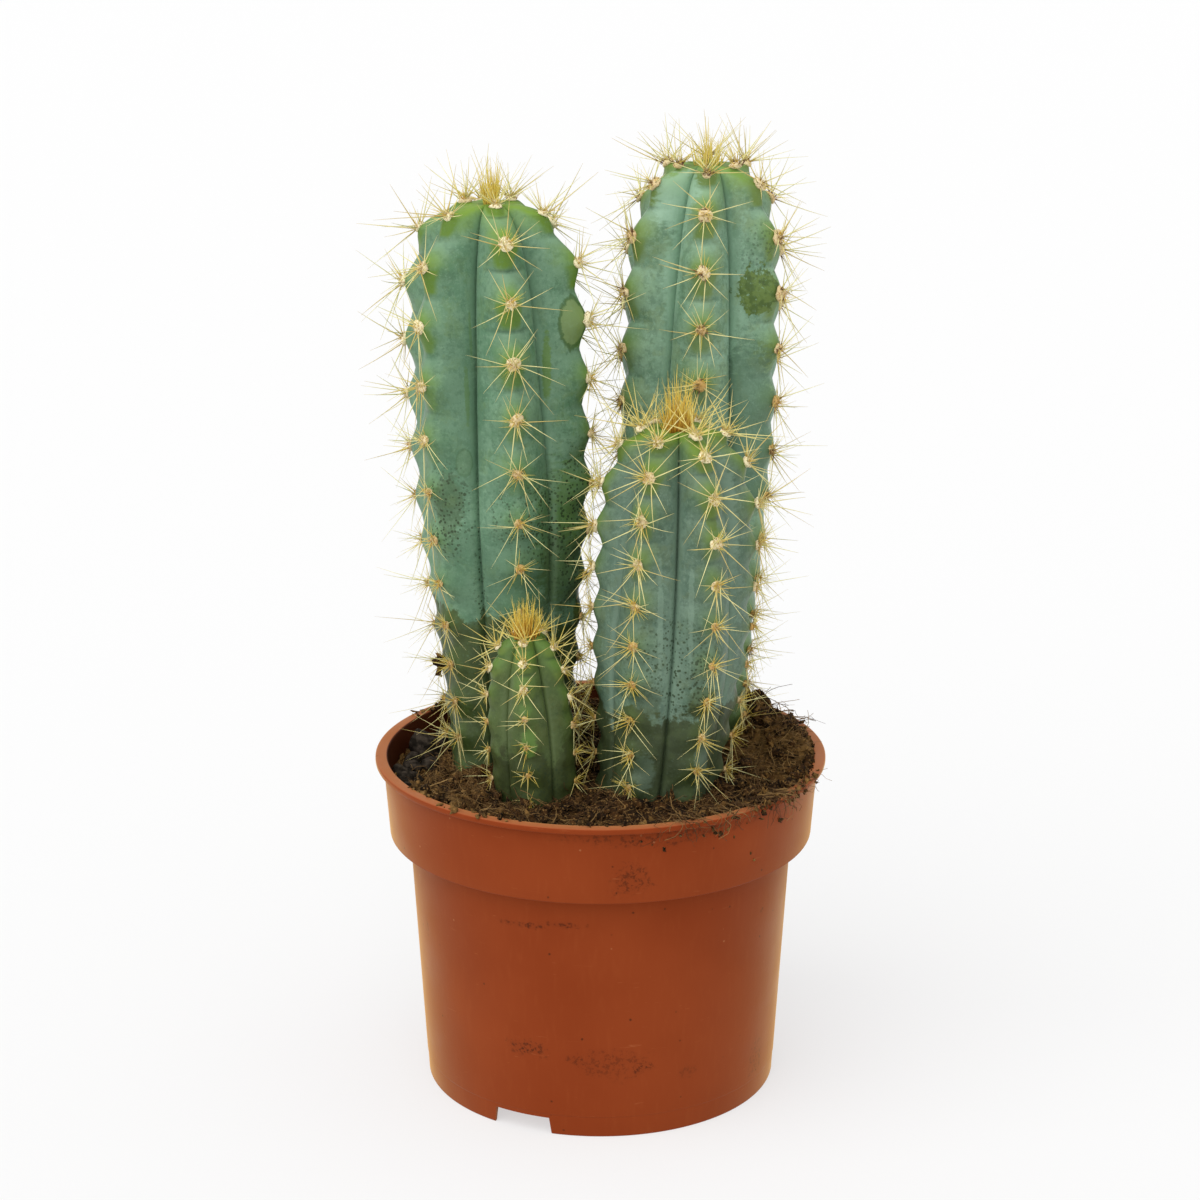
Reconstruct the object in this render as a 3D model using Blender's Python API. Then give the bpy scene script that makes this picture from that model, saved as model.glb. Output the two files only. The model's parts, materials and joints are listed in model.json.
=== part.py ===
"""A blue torch cactus: three stems and a pup, planted together in a 12 cm plastic nursery pot.

Metres, +Z up, with the front of the plant towards -Y. The origin is on the pot's axis, on the
surface that its foot stands on.
"""

import math
import random
from dataclasses import dataclass

import bmesh
import bpy
from mathutils import Vector

MM = 0.001
GAP = 0.3 * MM  # left between neighbouring pieces

# The pot, a thin moulding sized by the width over its lip.
POT_SIDES = 48
POT_HEIGHT = 90.5 * MM
WALL = 1.1 * MM
LIP_RADIUS = 60 * MM
LIP_THICKNESS = 1.6 * MM
COLLAR_TOP_RADIUS = 57.9 * MM
COLLAR_FOOT_RADIUS = 56.4 * MM
COLLAR_FOOT = 69 * MM
BODY_TOP_RADIUS = 51.2 * MM
FOOT_RADIUS = 47.1 * MM
FLOOR_UNDERSIDE = 5 * MM
NOTCH_HEIGHT = 4.6 * MM
NOTCH_WIDTH = 17 * MM
NOTCH_NARROWING = 1.5 * MM  # towards its top
NOTCH_COUNT = 3
FIRST_NOTCH = math.radians(-26)  # from the front, towards +X when positive
DRAIN_RADIUS = 4.5 * MM
DRAIN_SIDES = 10
DRAIN_COUNT = 6
DRAIN_CIRCLE = 31 * MM

# The soil: level at the front, sunk at the back left and heaped against the rim at the right.
SOIL_SIDES = 36
SOIL_LEVEL = 88.0 * MM
SOIL_DIP = 6 * MM
SOIL_HEAP = 3 * MM
SOIL_LUMPS = 0.8 * MM
LUMP_LENGTHS = (4.1 * MM, 3.3 * MM, 6.7 * MM)  # along X, along Y and across both
SOIL_SLACK = 0.5 * MM  # to the pot's wall, whose sides are flatter than the soil's
SOIL_RINGS = 7
HOLE_SIDES = 24
ROOTING_DEPTH = 14 * MM  # how far a stem reaches below the soil
FIRST_AREOLE = 4 * MM  # the lowest areoles' height above the soil

# The stems.
FLANK = 0.6  # where a rib's side column lies, from 0 at its crest to 1 in the furrow
FLANK_RADIUS = 0.93
SWELL = 0.9 * MM  # how far a rib stands out at an areole and draws in between two
FLANK_SWELL = 0.5  # of the crest's swell, at the side columns
SWELL_FADE = 8 * MM  # the ribs' radius under which the swell fades out towards the crown
FURROW_RISE = 60 * MM  # the height above the soil over which the furrows reach their full depth
DOME_POWER = 2.6
DOME_ROOT = 0.42
ROW_POWER = 1.4  # how the steps between areoles lengthen up the stem
CROWN_EDGE = 0.5 * MM  # the rim of the dent that the crown's tuft grows in, below the top
CROWN_DENT = 1.5 * MM

# The spines.
SPINE_WIDTH = 0.95 * MM
SPINE_ROOT_DEPTH = 1.6 * MM
SPINE_CLEARANCE = 1.0 * MM  # to another stem or the pot
SOIL_CLEARANCE = 1.6 * MM
SPINE_SPACING = 1.8 * MM  # to another stem's spine
RIM_CLEARANCE = 3 * MM  # inside the collar
SPINE_TRIES = 14
TUFT_ROOT_DEPTH = 3 * MM


@dataclass
class Stem:
    """One ribbed stem. Angles are from the front, towards +X when positive."""

    name: str
    ribs: int
    first_rib: float  # degrees
    foot: tuple  # x and y of its axis at the soil
    head: tuple  # x and y of its axis at the top
    foot_radius: float  # over the ribs
    full_radius: float
    full_height: float  # where it reaches its full radius
    shoulder: float  # where the dome of its crown starts
    top: float
    furrow_foot: float  # the furrow's radius as a share of the rib's, at the soil and at the crown
    furrow_head: float
    row_foot: float  # between one row of areoles and the next, at the soil and at the crown
    row_head: float
    crown_gap: float  # from the top to the first row, along the rib
    spine_length: float
    spines: int  # at each areole
    tuft: int  # spines in the crown's tuft
    tuft_length: float
    tuft_radius: float
    colour: tuple
    seed: int


STEMS = (
    Stem(
        name="cactus_left",
        ribs=6,
        first_rib=12,
        foot=(-23.8 * MM, 8 * MM),
        head=(-28.2 * MM, 8 * MM),
        foot_radius=17.2 * MM,
        full_radius=24.0 * MM,
        full_height=178 * MM,
        shoulder=203 * MM,
        top=237.3 * MM,
        furrow_foot=0.84,
        furrow_head=0.62,
        row_foot=4.7 * MM,
        row_head=8.2 * MM,
        crown_gap=11.2 * MM,
        spine_length=14.5 * MM,
        spines=4,
        tuft=16,
        tuft_length=13 * MM,
        tuft_radius=4.5 * MM,
        colour=(0.10, 0.25, 0.18),
        seed=11,
    ),
    Stem(
        name="cactus_right",
        ribs=6,
        first_rib=-2,
        foot=(23.2 * MM, 22 * MM),
        head=(27.8 * MM, 22 * MM),
        foot_radius=17.0 * MM,
        full_radius=22.3 * MM,
        full_height=190 * MM,
        shoulder=206 * MM,
        top=244.6 * MM,
        furrow_foot=0.84,
        furrow_head=0.62,
        row_foot=4.7 * MM,
        row_head=7.7 * MM,
        crown_gap=14.0 * MM,
        spine_length=16.0 * MM,
        spines=4,
        tuft=16,
        tuft_length=15.0 * MM,
        tuft_radius=5 * MM,
        colour=(0.11, 0.25, 0.20),
        seed=23,
    ),
    Stem(
        name="cactus_front",
        ribs=6,
        first_rib=32,
        foot=(16.2 * MM, -20 * MM),
        head=(20.2 * MM, -20 * MM),
        foot_radius=16.0 * MM,
        full_radius=19.8 * MM,
        full_height=135 * MM,
        shoulder=152 * MM,
        top=184.8 * MM,
        furrow_foot=0.84,
        furrow_head=0.66,
        row_foot=4.5 * MM,
        row_head=6.1 * MM,
        crown_gap=7.0 * MM,
        spine_length=12.5 * MM,
        spines=4,
        tuft=22,
        tuft_length=13.5 * MM,
        tuft_radius=5 * MM,
        colour=(0.11, 0.25, 0.20),
        seed=37,
    ),
    Stem(
        name="cactus_pup",
        ribs=5,
        first_rib=-7,
        foot=(-16.6 * MM, -24.3 * MM),
        head=(-19.0 * MM, -24.3 * MM),
        foot_radius=11.0 * MM,
        full_radius=11.2 * MM,
        full_height=100 * MM,
        shoulder=104 * MM,
        top=131.0 * MM,
        furrow_foot=0.84,
        furrow_head=0.66,
        row_foot=4.2 * MM,
        row_head=3.6 * MM,
        crown_gap=5.2 * MM,
        spine_length=9.0 * MM,
        spines=3,
        tuft=14,
        tuft_length=9.5 * MM,
        tuft_radius=3.5 * MM,
        colour=(0.08, 0.20, 0.10),
        seed=41,
    ),
)


def from_front(angle, radius, height=0.0):
    """The point at this angle from the front, in radians, about the Z axis."""
    return Vector((radius * math.sin(angle), -radius * math.cos(angle), height))


def blend(a, b, share):
    return a + (b - a) * share


def smooth(share):
    share = min(1.0, max(0.0, share))
    return share * share * (3 - 2 * share)


def material(name, colour, roughness):
    made = bpy.data.materials.new(name)
    made.use_nodes = True
    shader = made.node_tree.nodes["Principled BSDF"]
    shader.inputs["Base Color"].default_value = (*colour, 1.0)
    shader.inputs["Roughness"].default_value = roughness
    return made


def add_object(name, mesh, finish):
    obj = bpy.data.objects.new(name, mesh)
    if finish is not None:
        mesh.materials.append(finish)
    bpy.context.scene.collection.objects.link(obj)
    return obj


def mesh_from(name, points, faces):
    mesh = bpy.data.meshes.new(name)
    mesh.from_pydata([tuple(p) for p in points], [], faces)
    work = bmesh.new()
    work.from_mesh(mesh)
    bmesh.ops.recalc_face_normals(work, faces=work.faces)
    work.to_mesh(mesh)
    work.free()
    return mesh


def loft(name, rings, dent=0.0):
    """A closed solid through rings with the same number of points, its last end dented by this much."""
    count = len(rings[0])
    points = [p for ring in rings for p in ring]
    faces = []
    for row in range(len(rings) - 1):
        for i in range(count):
            j = (i + 1) % count
            low, high = row * count, (row + 1) * count
            faces.append((low + i, low + j, high + j, high + i))
    for ring, first in ((rings[0], 0), (rings[-1], (len(rings) - 1) * count)):
        hub = len(points)
        drop = dent if ring is rings[-1] else 0.0
        points.append(sum(ring, Vector()) / count - Vector((0, 0, drop)))
        faces += [(first + i, first + (i + 1) % count, hub) for i in range(count)]
    return mesh_from(name, points, faces)


def prism(name, radius, low, high, sides, centre):
    """An upright round cutter."""
    rings = [
        [from_front(math.tau * i / sides, radius, height) + centre for i in range(sides)]
        for height in (low, high)
    ]
    return add_object(name, loft(name, rings), None)


def combine(body, others, operation):
    """Cuts these objects from the body or joins them to it in one Boolean, then removes them."""
    crowd = bpy.data.collections.new(f"{body.name} pieces")
    bpy.context.scene.collection.children.link(crowd)
    for other in others:
        bpy.context.scene.collection.objects.unlink(other)
        crowd.objects.link(other)
    boolean = body.modifiers.new("pieces", "BOOLEAN")
    boolean.operation = operation
    boolean.operand_type = "COLLECTION"
    boolean.collection = crowd
    boolean.solver = "EXACT"
    graph = bpy.context.evaluated_depsgraph_get()
    mesh = bpy.data.meshes.new_from_object(body.evaluated_get(graph))
    body.modifiers.clear()
    body.data = mesh
    for other in others:
        bpy.data.objects.remove(other)
    bpy.data.collections.remove(crowd)


# ---------------------------------------------------------------- pot


def body_radius(height):
    return blend(FOOT_RADIUS, BODY_TOP_RADIUS, height / COLLAR_FOOT)


def pot_profile():
    """(radius, height) round the wall's section, from the floor's underside out and over the lip."""
    floor_top = FLOOR_UNDERSIDE + WALL
    lip_underside = POT_HEIGHT - LIP_THICKNESS
    edge = 0.4 * MM
    return [
        (FOOT_RADIUS - WALL, FLOOR_UNDERSIDE),
        (FOOT_RADIUS - WALL, 0),
        (FOOT_RADIUS, 0),
        (BODY_TOP_RADIUS, COLLAR_FOOT),
        (COLLAR_FOOT_RADIUS, COLLAR_FOOT),
        (COLLAR_TOP_RADIUS, lip_underside),
        (LIP_RADIUS, lip_underside),
        (LIP_RADIUS, POT_HEIGHT - edge),
        (LIP_RADIUS - edge, POT_HEIGHT),
        (COLLAR_TOP_RADIUS - WALL, POT_HEIGHT),
        (COLLAR_FOOT_RADIUS - WALL, COLLAR_FOOT + WALL),
        (BODY_TOP_RADIUS - WALL, COLLAR_FOOT + WALL),
        (body_radius(floor_top) - WALL, floor_top),
    ]


def notch_cutter(index):
    """A block across the foot ring, a little narrower at its top."""
    angle = FIRST_NOTCH + math.tau * index / NOTCH_COUNT
    out = from_front(angle, 1)
    side = Vector((-out.y, out.x, 0))
    rings = []
    for height, width in ((-MM, NOTCH_WIDTH), (NOTCH_HEIGHT, NOTCH_WIDTH - NOTCH_NARROWING)):
        level = Vector((0, 0, height))
        near = out * (FOOT_RADIUS - 6 * MM) + level
        far = out * (FOOT_RADIUS + 4 * MM) + level
        rings.append(
            [near - side * width / 2, near + side * width / 2, far + side * width / 2, far - side * width / 2]
        )
    name = f"notch {index}"
    return add_object(name, loft(name, rings), None)


def make_pot():
    rings = [
        [from_front(math.tau * i / POT_SIDES, radius, height) for i in range(POT_SIDES)]
        for radius, height in pot_profile()
    ]
    pot = add_object("pot", loft("pot", rings), material("pot_plastic", (0.36, 0.09, 0.03), 0.42))
    cutters = [notch_cutter(i) for i in range(NOTCH_COUNT)]
    for i in range(DRAIN_COUNT):
        centre = from_front(FIRST_NOTCH + math.tau * i / DRAIN_COUNT, DRAIN_CIRCLE)
        low, high = FLOOR_UNDERSIDE - MM, FLOOR_UNDERSIDE + WALL + MM
        cutters.append(prism(f"drain {i}", DRAIN_RADIUS, low, high, DRAIN_SIDES, centre))
    combine(pot, cutters, "DIFFERENCE")


# ---------------------------------------------------------------- soil


def soil_height(x, y):
    """The soil's surface: dipped at the back left, heaped at the right, with small lumps."""
    left_back = smooth((0.75 * y - 0.65 * x) / (45 * MM))
    right = smooth((0.9 * x + 0.35 * y - 30 * MM) / (25 * MM))
    along, across, oblique = LUMP_LENGTHS
    lumps = math.sin(x / along) * math.cos(y / across) + 0.6 * math.sin((x + y) / oblique)
    return SOIL_LEVEL - SOIL_DIP * left_back + SOIL_HEAP * right + SOIL_LUMPS * lumps


def make_soil():
    edge = COLLAR_TOP_RADIUS - WALL - SOIL_SLACK - GAP
    shelf = COLLAR_FOOT + WALL + GAP
    floor = FLOOR_UNDERSIDE + WALL + GAP

    def ring(radius, height=None):
        points = [from_front(math.tau * i / SOIL_SIDES, radius) for i in range(SOIL_SIDES)]
        return [Vector((p.x, p.y, soil_height(p.x, p.y) if height is None else height)) for p in points]

    rings = [ring(edge * (i + 1) / SOIL_RINGS) for i in range(SOIL_RINGS)]
    rings += [
        ring(COLLAR_FOOT_RADIUS - WALL - SOIL_SLACK, shelf),
        ring(BODY_TOP_RADIUS - WALL - SOIL_SLACK, shelf),
        ring(body_radius(floor) - WALL - SOIL_SLACK, floor),
    ]
    soil = add_object("soil", loft("soil", rings), material("peat", (0.035, 0.022, 0.012), 0.95))
    holes = []
    for stem in STEMS:
        centre = Vector((*stem.foot, 0))
        depth = foot_height(stem)
        radius = hole_radius(stem)
        top = POT_HEIGHT + 10 * MM
        holes.append(prism(f"{stem.name} hole", radius, depth - GAP, top, HOLE_SIDES, centre))
    combine(soil, holes, "DIFFERENCE")


# ---------------------------------------------------------------- stems


def ground_at(stem):
    return soil_height(*stem.foot)


def foot_height(stem):
    return ground_at(stem) - ROOTING_DEPTH


def hole_radius(stem):
    """Clear of the rib crests of the stretch that stands in the soil."""
    highest = ground_at(stem) + FIRST_AREOLE
    lean = (axis_at(stem, highest) - axis_at(stem, foot_height(stem))).length
    return (rib_radius(stem, highest) + SWELL + lean + GAP) / math.cos(math.pi / HOLE_SIDES)


def axis_at(stem, height):
    """The stem's axis: upright in the soil, then leaning evenly to its head."""
    share = max(0.0, (height - SOIL_LEVEL) / (stem.top - SOIL_LEVEL))
    return Vector((blend(stem.foot[0], stem.head[0], share), blend(stem.foot[1], stem.head[1], share)))


def rib_radius(stem, height):
    """How far the rib crests stand from the axis, before the swelling at each areole."""
    grown = smooth((height - SOIL_LEVEL) / (stem.full_height - SOIL_LEVEL))
    radius = blend(stem.foot_radius, stem.full_radius, grown)
    if height <= stem.shoulder:
        return radius
    share = min(1.0, (height - stem.shoulder) / (stem.top - stem.shoulder))
    return radius * max(0.0, 1 - share**DOME_POWER) ** DOME_ROOT


def furrow_share(stem, height):
    """The furrow's radius over the rib's: shallow at the old foot, deep towards the crown."""
    return blend(stem.furrow_foot, stem.furrow_head, smooth((height - SOIL_LEVEL) / FURROW_RISE))


def areole_rows(stem):
    """The heights of the rows of areoles, from the crown down, evenly stepped along the rib."""
    rows = []
    height = stem.top
    gone, goal = 0.0, stem.crown_gap
    step = 0.05 * MM
    lowest = ground_at(stem) + FIRST_AREOLE
    while height > lowest:
        gone += math.hypot(step, rib_radius(stem, height - step) - rib_radius(stem, height))
        height -= step
        if gone >= goal:
            rows.append(height)
            share = max(0.0, (height - SOIL_LEVEL) / (stem.shoulder - SOIL_LEVEL))
            goal = gone + blend(stem.row_foot, stem.row_head, min(1.0, share**ROW_POWER))
    return rows


def has_areole(row, rib):
    """Areoles alternate: every other row on a rib, and the rows between on the next rib."""
    return (row + rib) % 2 == 1


def rib_angle(stem, rib):
    return math.radians(stem.first_rib + 360 * rib / stem.ribs)


def stem_ring(stem, height, row=None):
    """The ribbed section at this height: a crest, two flanks and a furrow for each rib."""
    centre = axis_at(stem, height)
    radius = rib_radius(stem, height)
    furrow = furrow_share(stem, height)
    points = []
    for rib in range(stem.ribs):
        swell = 0.0
        if row is not None:
            swell = SWELL if has_areole(row, rib) else -SWELL
            swell *= min(1.0, radius / SWELL_FADE)
        for place, share, lift in (
            (-1, furrow, 0.0),
            (-FLANK, FLANK_RADIUS, FLANK_SWELL),
            (0, 1.0, 1.0),
            (FLANK, FLANK_RADIUS, FLANK_SWELL),
        ):
            angle = rib_angle(stem, rib) + place * math.pi / stem.ribs
            at = from_front(angle, radius * share + swell * lift, height)
            points.append(at + Vector((centre.x, centre.y, 0)))
    return points


def make_body(stem, finish):
    rows = areole_rows(stem)
    ground = ground_at(stem)
    rings = [stem_ring(stem, foot_height(stem)), stem_ring(stem, ground)]
    rings += [stem_ring(stem, height, row) for row, height in reversed(list(enumerate(rows)))]
    rings.append(stem_ring(stem, stem.top - CROWN_EDGE))
    return add_object(stem.name, loft(stem.name, rings, CROWN_DENT), finish)


def areoles(stem):
    """(place, outwards, up) of each areole, with up along its rib."""
    found = []
    for row, height in enumerate(areole_rows(stem)):
        for rib in range(stem.ribs):
            if not has_areole(row, rib):
                continue
            out = from_front(rib_angle(stem, rib), 1)

            def on_crest(level):
                centre = axis_at(stem, level)
                return out * rib_radius(stem, level) + Vector((centre.x, centre.y, level))

            low, high = on_crest(height - MM), on_crest(min(height + MM, stem.top - 0.1 * MM))
            up = (high - low).normalized()
            side = up.cross(out).normalized()
            normal = side.cross(up).normalized()
            swell = SWELL * min(1.0, rib_radius(stem, height) / SWELL_FADE)
            found.append((on_crest(height) + out * swell, normal, up))
    return found


# ---------------------------------------------------------------- spines


def spine_plan(count, turn, rng):
    """(degrees round the areole from up, degrees off the skin, share of full length) of each spine."""
    full = [
        (80, 30, 1.0),
        (280, 30, 1.0),
        (180, 25, 0.95),
        (20, 62, 1.0),
        (135, 25, 1.0),
        (225, 25, 1.0),
        (0, 80, 0.95),
        (320, 35, 0.8),
    ]
    start = 4 if turn % 2 else 0
    chosen = [full[(start + i) % len(full)] for i in range(count)]
    return [
        (a + rng.uniform(-14, 14), b + rng.uniform(-8, 10), c * rng.uniform(0.88, 1.05))
        for a, b, c in chosen
    ]


def points_along(root, tip, count=9):
    return [root.lerp(tip, (i + 1) / count) for i in range(count)]


def clear_of_all(root, tip, own, taken):
    """Whether a spine stays clear of the other stems and their spines, the soil and the pot."""
    places = points_along(root, tip)
    for p in places:
        if p.z < POT_HEIGHT + SPINE_CLEARANCE:
            wide = math.hypot(p.x, p.y)
            if wide > COLLAR_FOOT_RADIUS - WALL - RIM_CLEARANCE:
                return False
            if p.z < soil_height(p.x, p.y) + SOIL_CLEARANCE:
                return False
        for stem in STEMS:
            if stem is own or p.z > stem.top + SPINE_CLEARANCE:
                continue
            reach = rib_radius(stem, min(p.z, stem.top - MM)) + SWELL + SPINE_CLEARANCE
            if (Vector((p.x, p.y)) - axis_at(stem, p.z)).length < reach:
                return False
    for name, start, end in taken:
        if name == own.name:
            continue
        if min((a - b).length for a in places for b in points_along(start, end)) < SPINE_SPACING:
            return False
    return True


def needle(name, root, tip):
    """A slim three-sided spine, from a root sunk in its stem to a sharp tip."""
    along = (tip - root).normalized()
    across = along.orthogonal().normalized()
    other = along.cross(across)
    base = [
        root + (across * math.cos(t) + other * math.sin(t)) * SPINE_WIDTH / 2
        for t in (0, math.tau / 3, 2 * math.tau / 3)
    ]
    faces = [(0, 2, 1), (0, 1, 3), (1, 2, 3), (2, 0, 3)]
    return add_object(name, mesh_from(name, [*base, tip], faces), None)


def grow_spines(stem, taken):
    """The roots and tips of this stem's spines. One that would touch a neighbour is turned aside."""
    rng = random.Random(stem.seed)
    grown = []
    for turn, (place, out, up) in enumerate(areoles(stem)):
        side = up.cross(out)
        root = place - out * SPINE_ROOT_DEPTH
        for round_angle, lift, share in spine_plan(stem.spines, turn, rng):
            for attempt in range(SPINE_TRIES):
                a = math.radians(round_angle + attempt * rng.uniform(-9, 9))
                b = math.radians(min(88, lift + attempt * rng.uniform(-2, 4)))
                flat = up * math.cos(a) + side * math.sin(a)
                along = flat * math.cos(b) + out * math.sin(b)
                length = stem.spine_length * share * (1 - 0.04 * attempt)
                tip = place + along * length
                if clear_of_all(place + along * MM, tip, stem, taken + grown):
                    grown.append((stem.name, root, tip))
                    break
    crown = Vector((*stem.head, stem.top - CROWN_DENT))
    for i in range(stem.tuft):
        turn = i * math.pi * (3 - math.sqrt(5))
        spread = math.sqrt((i + 0.5) / stem.tuft)
        foot = crown + from_front(turn, stem.tuft_radius * spread)
        lean = math.radians(6 + 30 * spread)
        along = from_front(turn, math.sin(lean), math.cos(lean))
        length = stem.tuft_length * blend(1.0, 0.8, spread) * rng.uniform(0.9, 1.0)
        sunk = foot - along * TUFT_ROOT_DEPTH
        grown.append((stem.name, sunk, foot + along * length))
    return grown


def make_stems():
    taken = []
    for stem in STEMS:
        body = make_body(stem, material(f"{stem.name}_skin", stem.colour, 0.55))
        grown = grow_spines(stem, taken)
        taken += grown
        spines = [needle(f"{stem.name} {i}", root, tip) for i, (_, root, tip) in enumerate(grown)]
        combine(body, spines, "UNION")


def main():
    for obj in list(bpy.data.objects):
        bpy.data.objects.remove(obj)
    make_pot()
    make_soil()
    make_stems()


main()
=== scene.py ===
"""Dresses the blue torch cactus: waxy ribbed stems with their wool and spines, peat and the moulded pot.

The numbers below are in millimetres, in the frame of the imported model, until add_mesh() turns them
into metres. Angles are in degrees from the front (-Y), towards +X when positive.
"""

import itertools
import json
import math
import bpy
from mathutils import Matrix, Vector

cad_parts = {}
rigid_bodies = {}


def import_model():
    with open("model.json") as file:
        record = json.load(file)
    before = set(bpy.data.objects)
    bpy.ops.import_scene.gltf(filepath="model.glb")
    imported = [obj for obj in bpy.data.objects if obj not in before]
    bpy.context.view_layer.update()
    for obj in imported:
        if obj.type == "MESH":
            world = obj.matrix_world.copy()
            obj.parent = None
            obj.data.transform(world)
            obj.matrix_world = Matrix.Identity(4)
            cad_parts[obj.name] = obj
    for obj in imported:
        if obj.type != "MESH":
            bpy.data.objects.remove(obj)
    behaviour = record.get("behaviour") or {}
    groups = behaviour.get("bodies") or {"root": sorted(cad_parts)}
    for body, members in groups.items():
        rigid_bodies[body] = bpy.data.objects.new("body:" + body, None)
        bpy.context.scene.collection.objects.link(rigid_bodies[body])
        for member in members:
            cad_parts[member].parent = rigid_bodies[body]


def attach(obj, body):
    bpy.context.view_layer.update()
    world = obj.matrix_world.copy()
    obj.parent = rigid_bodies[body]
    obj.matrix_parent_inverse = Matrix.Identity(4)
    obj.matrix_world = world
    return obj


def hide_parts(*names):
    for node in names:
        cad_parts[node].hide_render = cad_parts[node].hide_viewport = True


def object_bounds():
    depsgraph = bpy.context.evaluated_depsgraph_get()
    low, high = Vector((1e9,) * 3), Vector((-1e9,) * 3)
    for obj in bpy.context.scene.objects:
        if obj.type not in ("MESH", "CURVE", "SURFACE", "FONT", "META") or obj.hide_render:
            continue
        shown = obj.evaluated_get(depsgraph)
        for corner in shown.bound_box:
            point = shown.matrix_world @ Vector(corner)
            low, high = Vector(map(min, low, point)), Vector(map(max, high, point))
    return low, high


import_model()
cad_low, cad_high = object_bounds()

from types import SimpleNamespace

import bpy
import numpy as np

MM = 0.001
CAD_LOW = np.array(cad_low) / MM
CAD_HIGH = np.array(cad_high) / MM
BOX_INSET = 0.25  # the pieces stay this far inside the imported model's box

# The pot.
POT_SEGMENTS = 264
POT_HEIGHT = 90.5
WALL = 1.1
CORNER = 0.55  # the radius of the moulding's edges
SHARP = 38  # an edge bent by more than this many degrees isn't smoothed
LONGEST_RUN = 6.0  # between two points of the profile
MIDDLE = 0.6  # the pinhole that a revolved profile leaves round the axis
LIP_RADIUS = 60.0
LIP_THICKNESS = 1.6
COLLAR_TOP_RADIUS = 57.9
COLLAR_FOOT_RADIUS = 56.4
COLLAR_FOOT = 69.0
BODY_TOP_RADIUS = 51.2
FOOT_RADIUS = 47.1
FLOOR_UNDERSIDE = 5.0
STEP_HEIGHT = 5.7  # the fine line round the wall, over the notches
NOTCH_HEIGHT = 4.6
NOTCH_WIDTH = 17.0
NOTCH_NARROWING = 1.5
NOTCH_COUNT = 3
NOTCH_REACH = (-6, 4)  # how far its cutter reaches inside and outside the foot's radius
FIRST_NOTCH = -26.0
DRAIN_RADIUS = 4.5
DRAIN_COUNT = 6
DRAIN_CIRCLE = 31.0
DRAIN_SIDES = 24

# The soil.
SOIL_LEVEL = 88.0
SOIL_DIP = 6.0
SOIL_HEAP = 5.2
SOIL_LUMPS = 0.8
LUMP_LENGTHS = (4.1, 3.3, 6.7)
SOIL_EDGE = 56.3
SOIL_GAP = (0.4, 0.3)  # between the bed's hidden foot and the wall beside it and the ledge under it
ROUND_STEMS = 0.88  # how near a stem's axis crumbs and fibres lie, as a share of its radius at the soil
SOIL_RINGS = 110
SOIL_SECTORS = 288
HEAP_START = 22  # how far out towards the heap, along HEAP_SIDE, the loose soil begins
HEAP_SIDE = (0.85, 0.5)
FIBRE_STEPS = 6

# The stems' skin.
ROW_STEP = 0.80
HALF_RIB = (  # the columns of points across half a rib, from 0 at its crest to 1 in the furrow
    0, 0.07, 0.14, 0.21, 0.28, 0.35, 0.42, 0.49, 0.56, 0.63, 0.70, 0.76, 0.82, 0.87, 0.915, 0.95, 0.98, 1.0,
)
FURROW_FOOT = 0.82  # the furrow's radius as a share of the rib's, at the soil
FLANK_PART = (0.6, 0.9)  # the part of a furrow's depth that its flanks fall, near the soil and in the crown
FLANK_POWER = 1.45
CUT_START = 0.85  # where the furrow's own cut starts, from 0 at the crest to 1 in the furrow
CUT_POWER = 2.0
FURROW_SHARE = 0.75  # how much of the stem's height, from the top, the furrow takes to reach its last depth
SWELL = (0.75, 1.25)  # how far a rib stands out at an areole, near the soil and in the crown
CROWDED_WITHIN = (4.0, 18.0)  # the distances from the crown's middle between which the areoles spread out
CREASE_DEPTH = 0.3
CREASE_WIDTH = 0.55
DOME_POWER = 2.6
DOME_ROOT = 0.42
ROOTING = 9.0  # how far the skin reaches below the soil's level
RIPPLE = 0.22  # the skin's own unevenness
WARMER = (1.5, 1.12, 0.80)  # what the wax's colour is multiplied by in its yellower patches
PAD_HAIRS = 32  # the short hairs round each pad of wool

# The marks on the skin, later ones on top: kind, angle, height, half-width, half-height and strength.
LEFT_STAINS = (
    ("ring", 63, 207, 4.2, 7.5, 1.0), ("ring", -25, 172, 2.2, 3.6, 0.5), ("olive", -23, 190, 0.7, 15, 0.6),
    ("olive", 47, 196, 1.2, 10, 0.8), ("olive", -21, 205, 0.5, 12, 0.4), ("thin", -26, 182, 7, 24, 0.5),
    ("thin", -26, 142, 7, 14, 0.5), ("thin", 8, 143, 12, 14, 0.6), ("thin", 50, 148, 9, 22, 0.5),
    ("olive", 45, 152, 8, 20, 0.3), ("worn", -37, 160, 4, 9, 0.5), ("speck", -38, 158, 7, 13, 1.15),
    ("speck", 2, 158, 4, 10, 0.7), ("speck", 30, 156, 9, 13, 1.0), ("olive", 62, 160, 7, 12, 0.35),
    ("worn", 50, 142, 8, 12, 0.45), ("speck", 62, 152, 9, 24, 1.2), ("speck", -18, 138, 2.5, 24, 1.1),
)
RIGHT_STAINS = (
    ("smear", 44, 213, 5.0, 5.8, 1.2), ("smear", 45, 209.5, 4.0, 2.6, 1.0), ("smear", 50, 196, 3.0, 3.0, 0.7),
    ("pale", -30, 215, 4.0, 14, 0.7), ("pale", -38, 236, 7.0, 9, 0.8), ("speck", 48, 222, 6, 10, 0.5),
    ("thin", 40, 176, 9, 24, 0.8),
)
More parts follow.
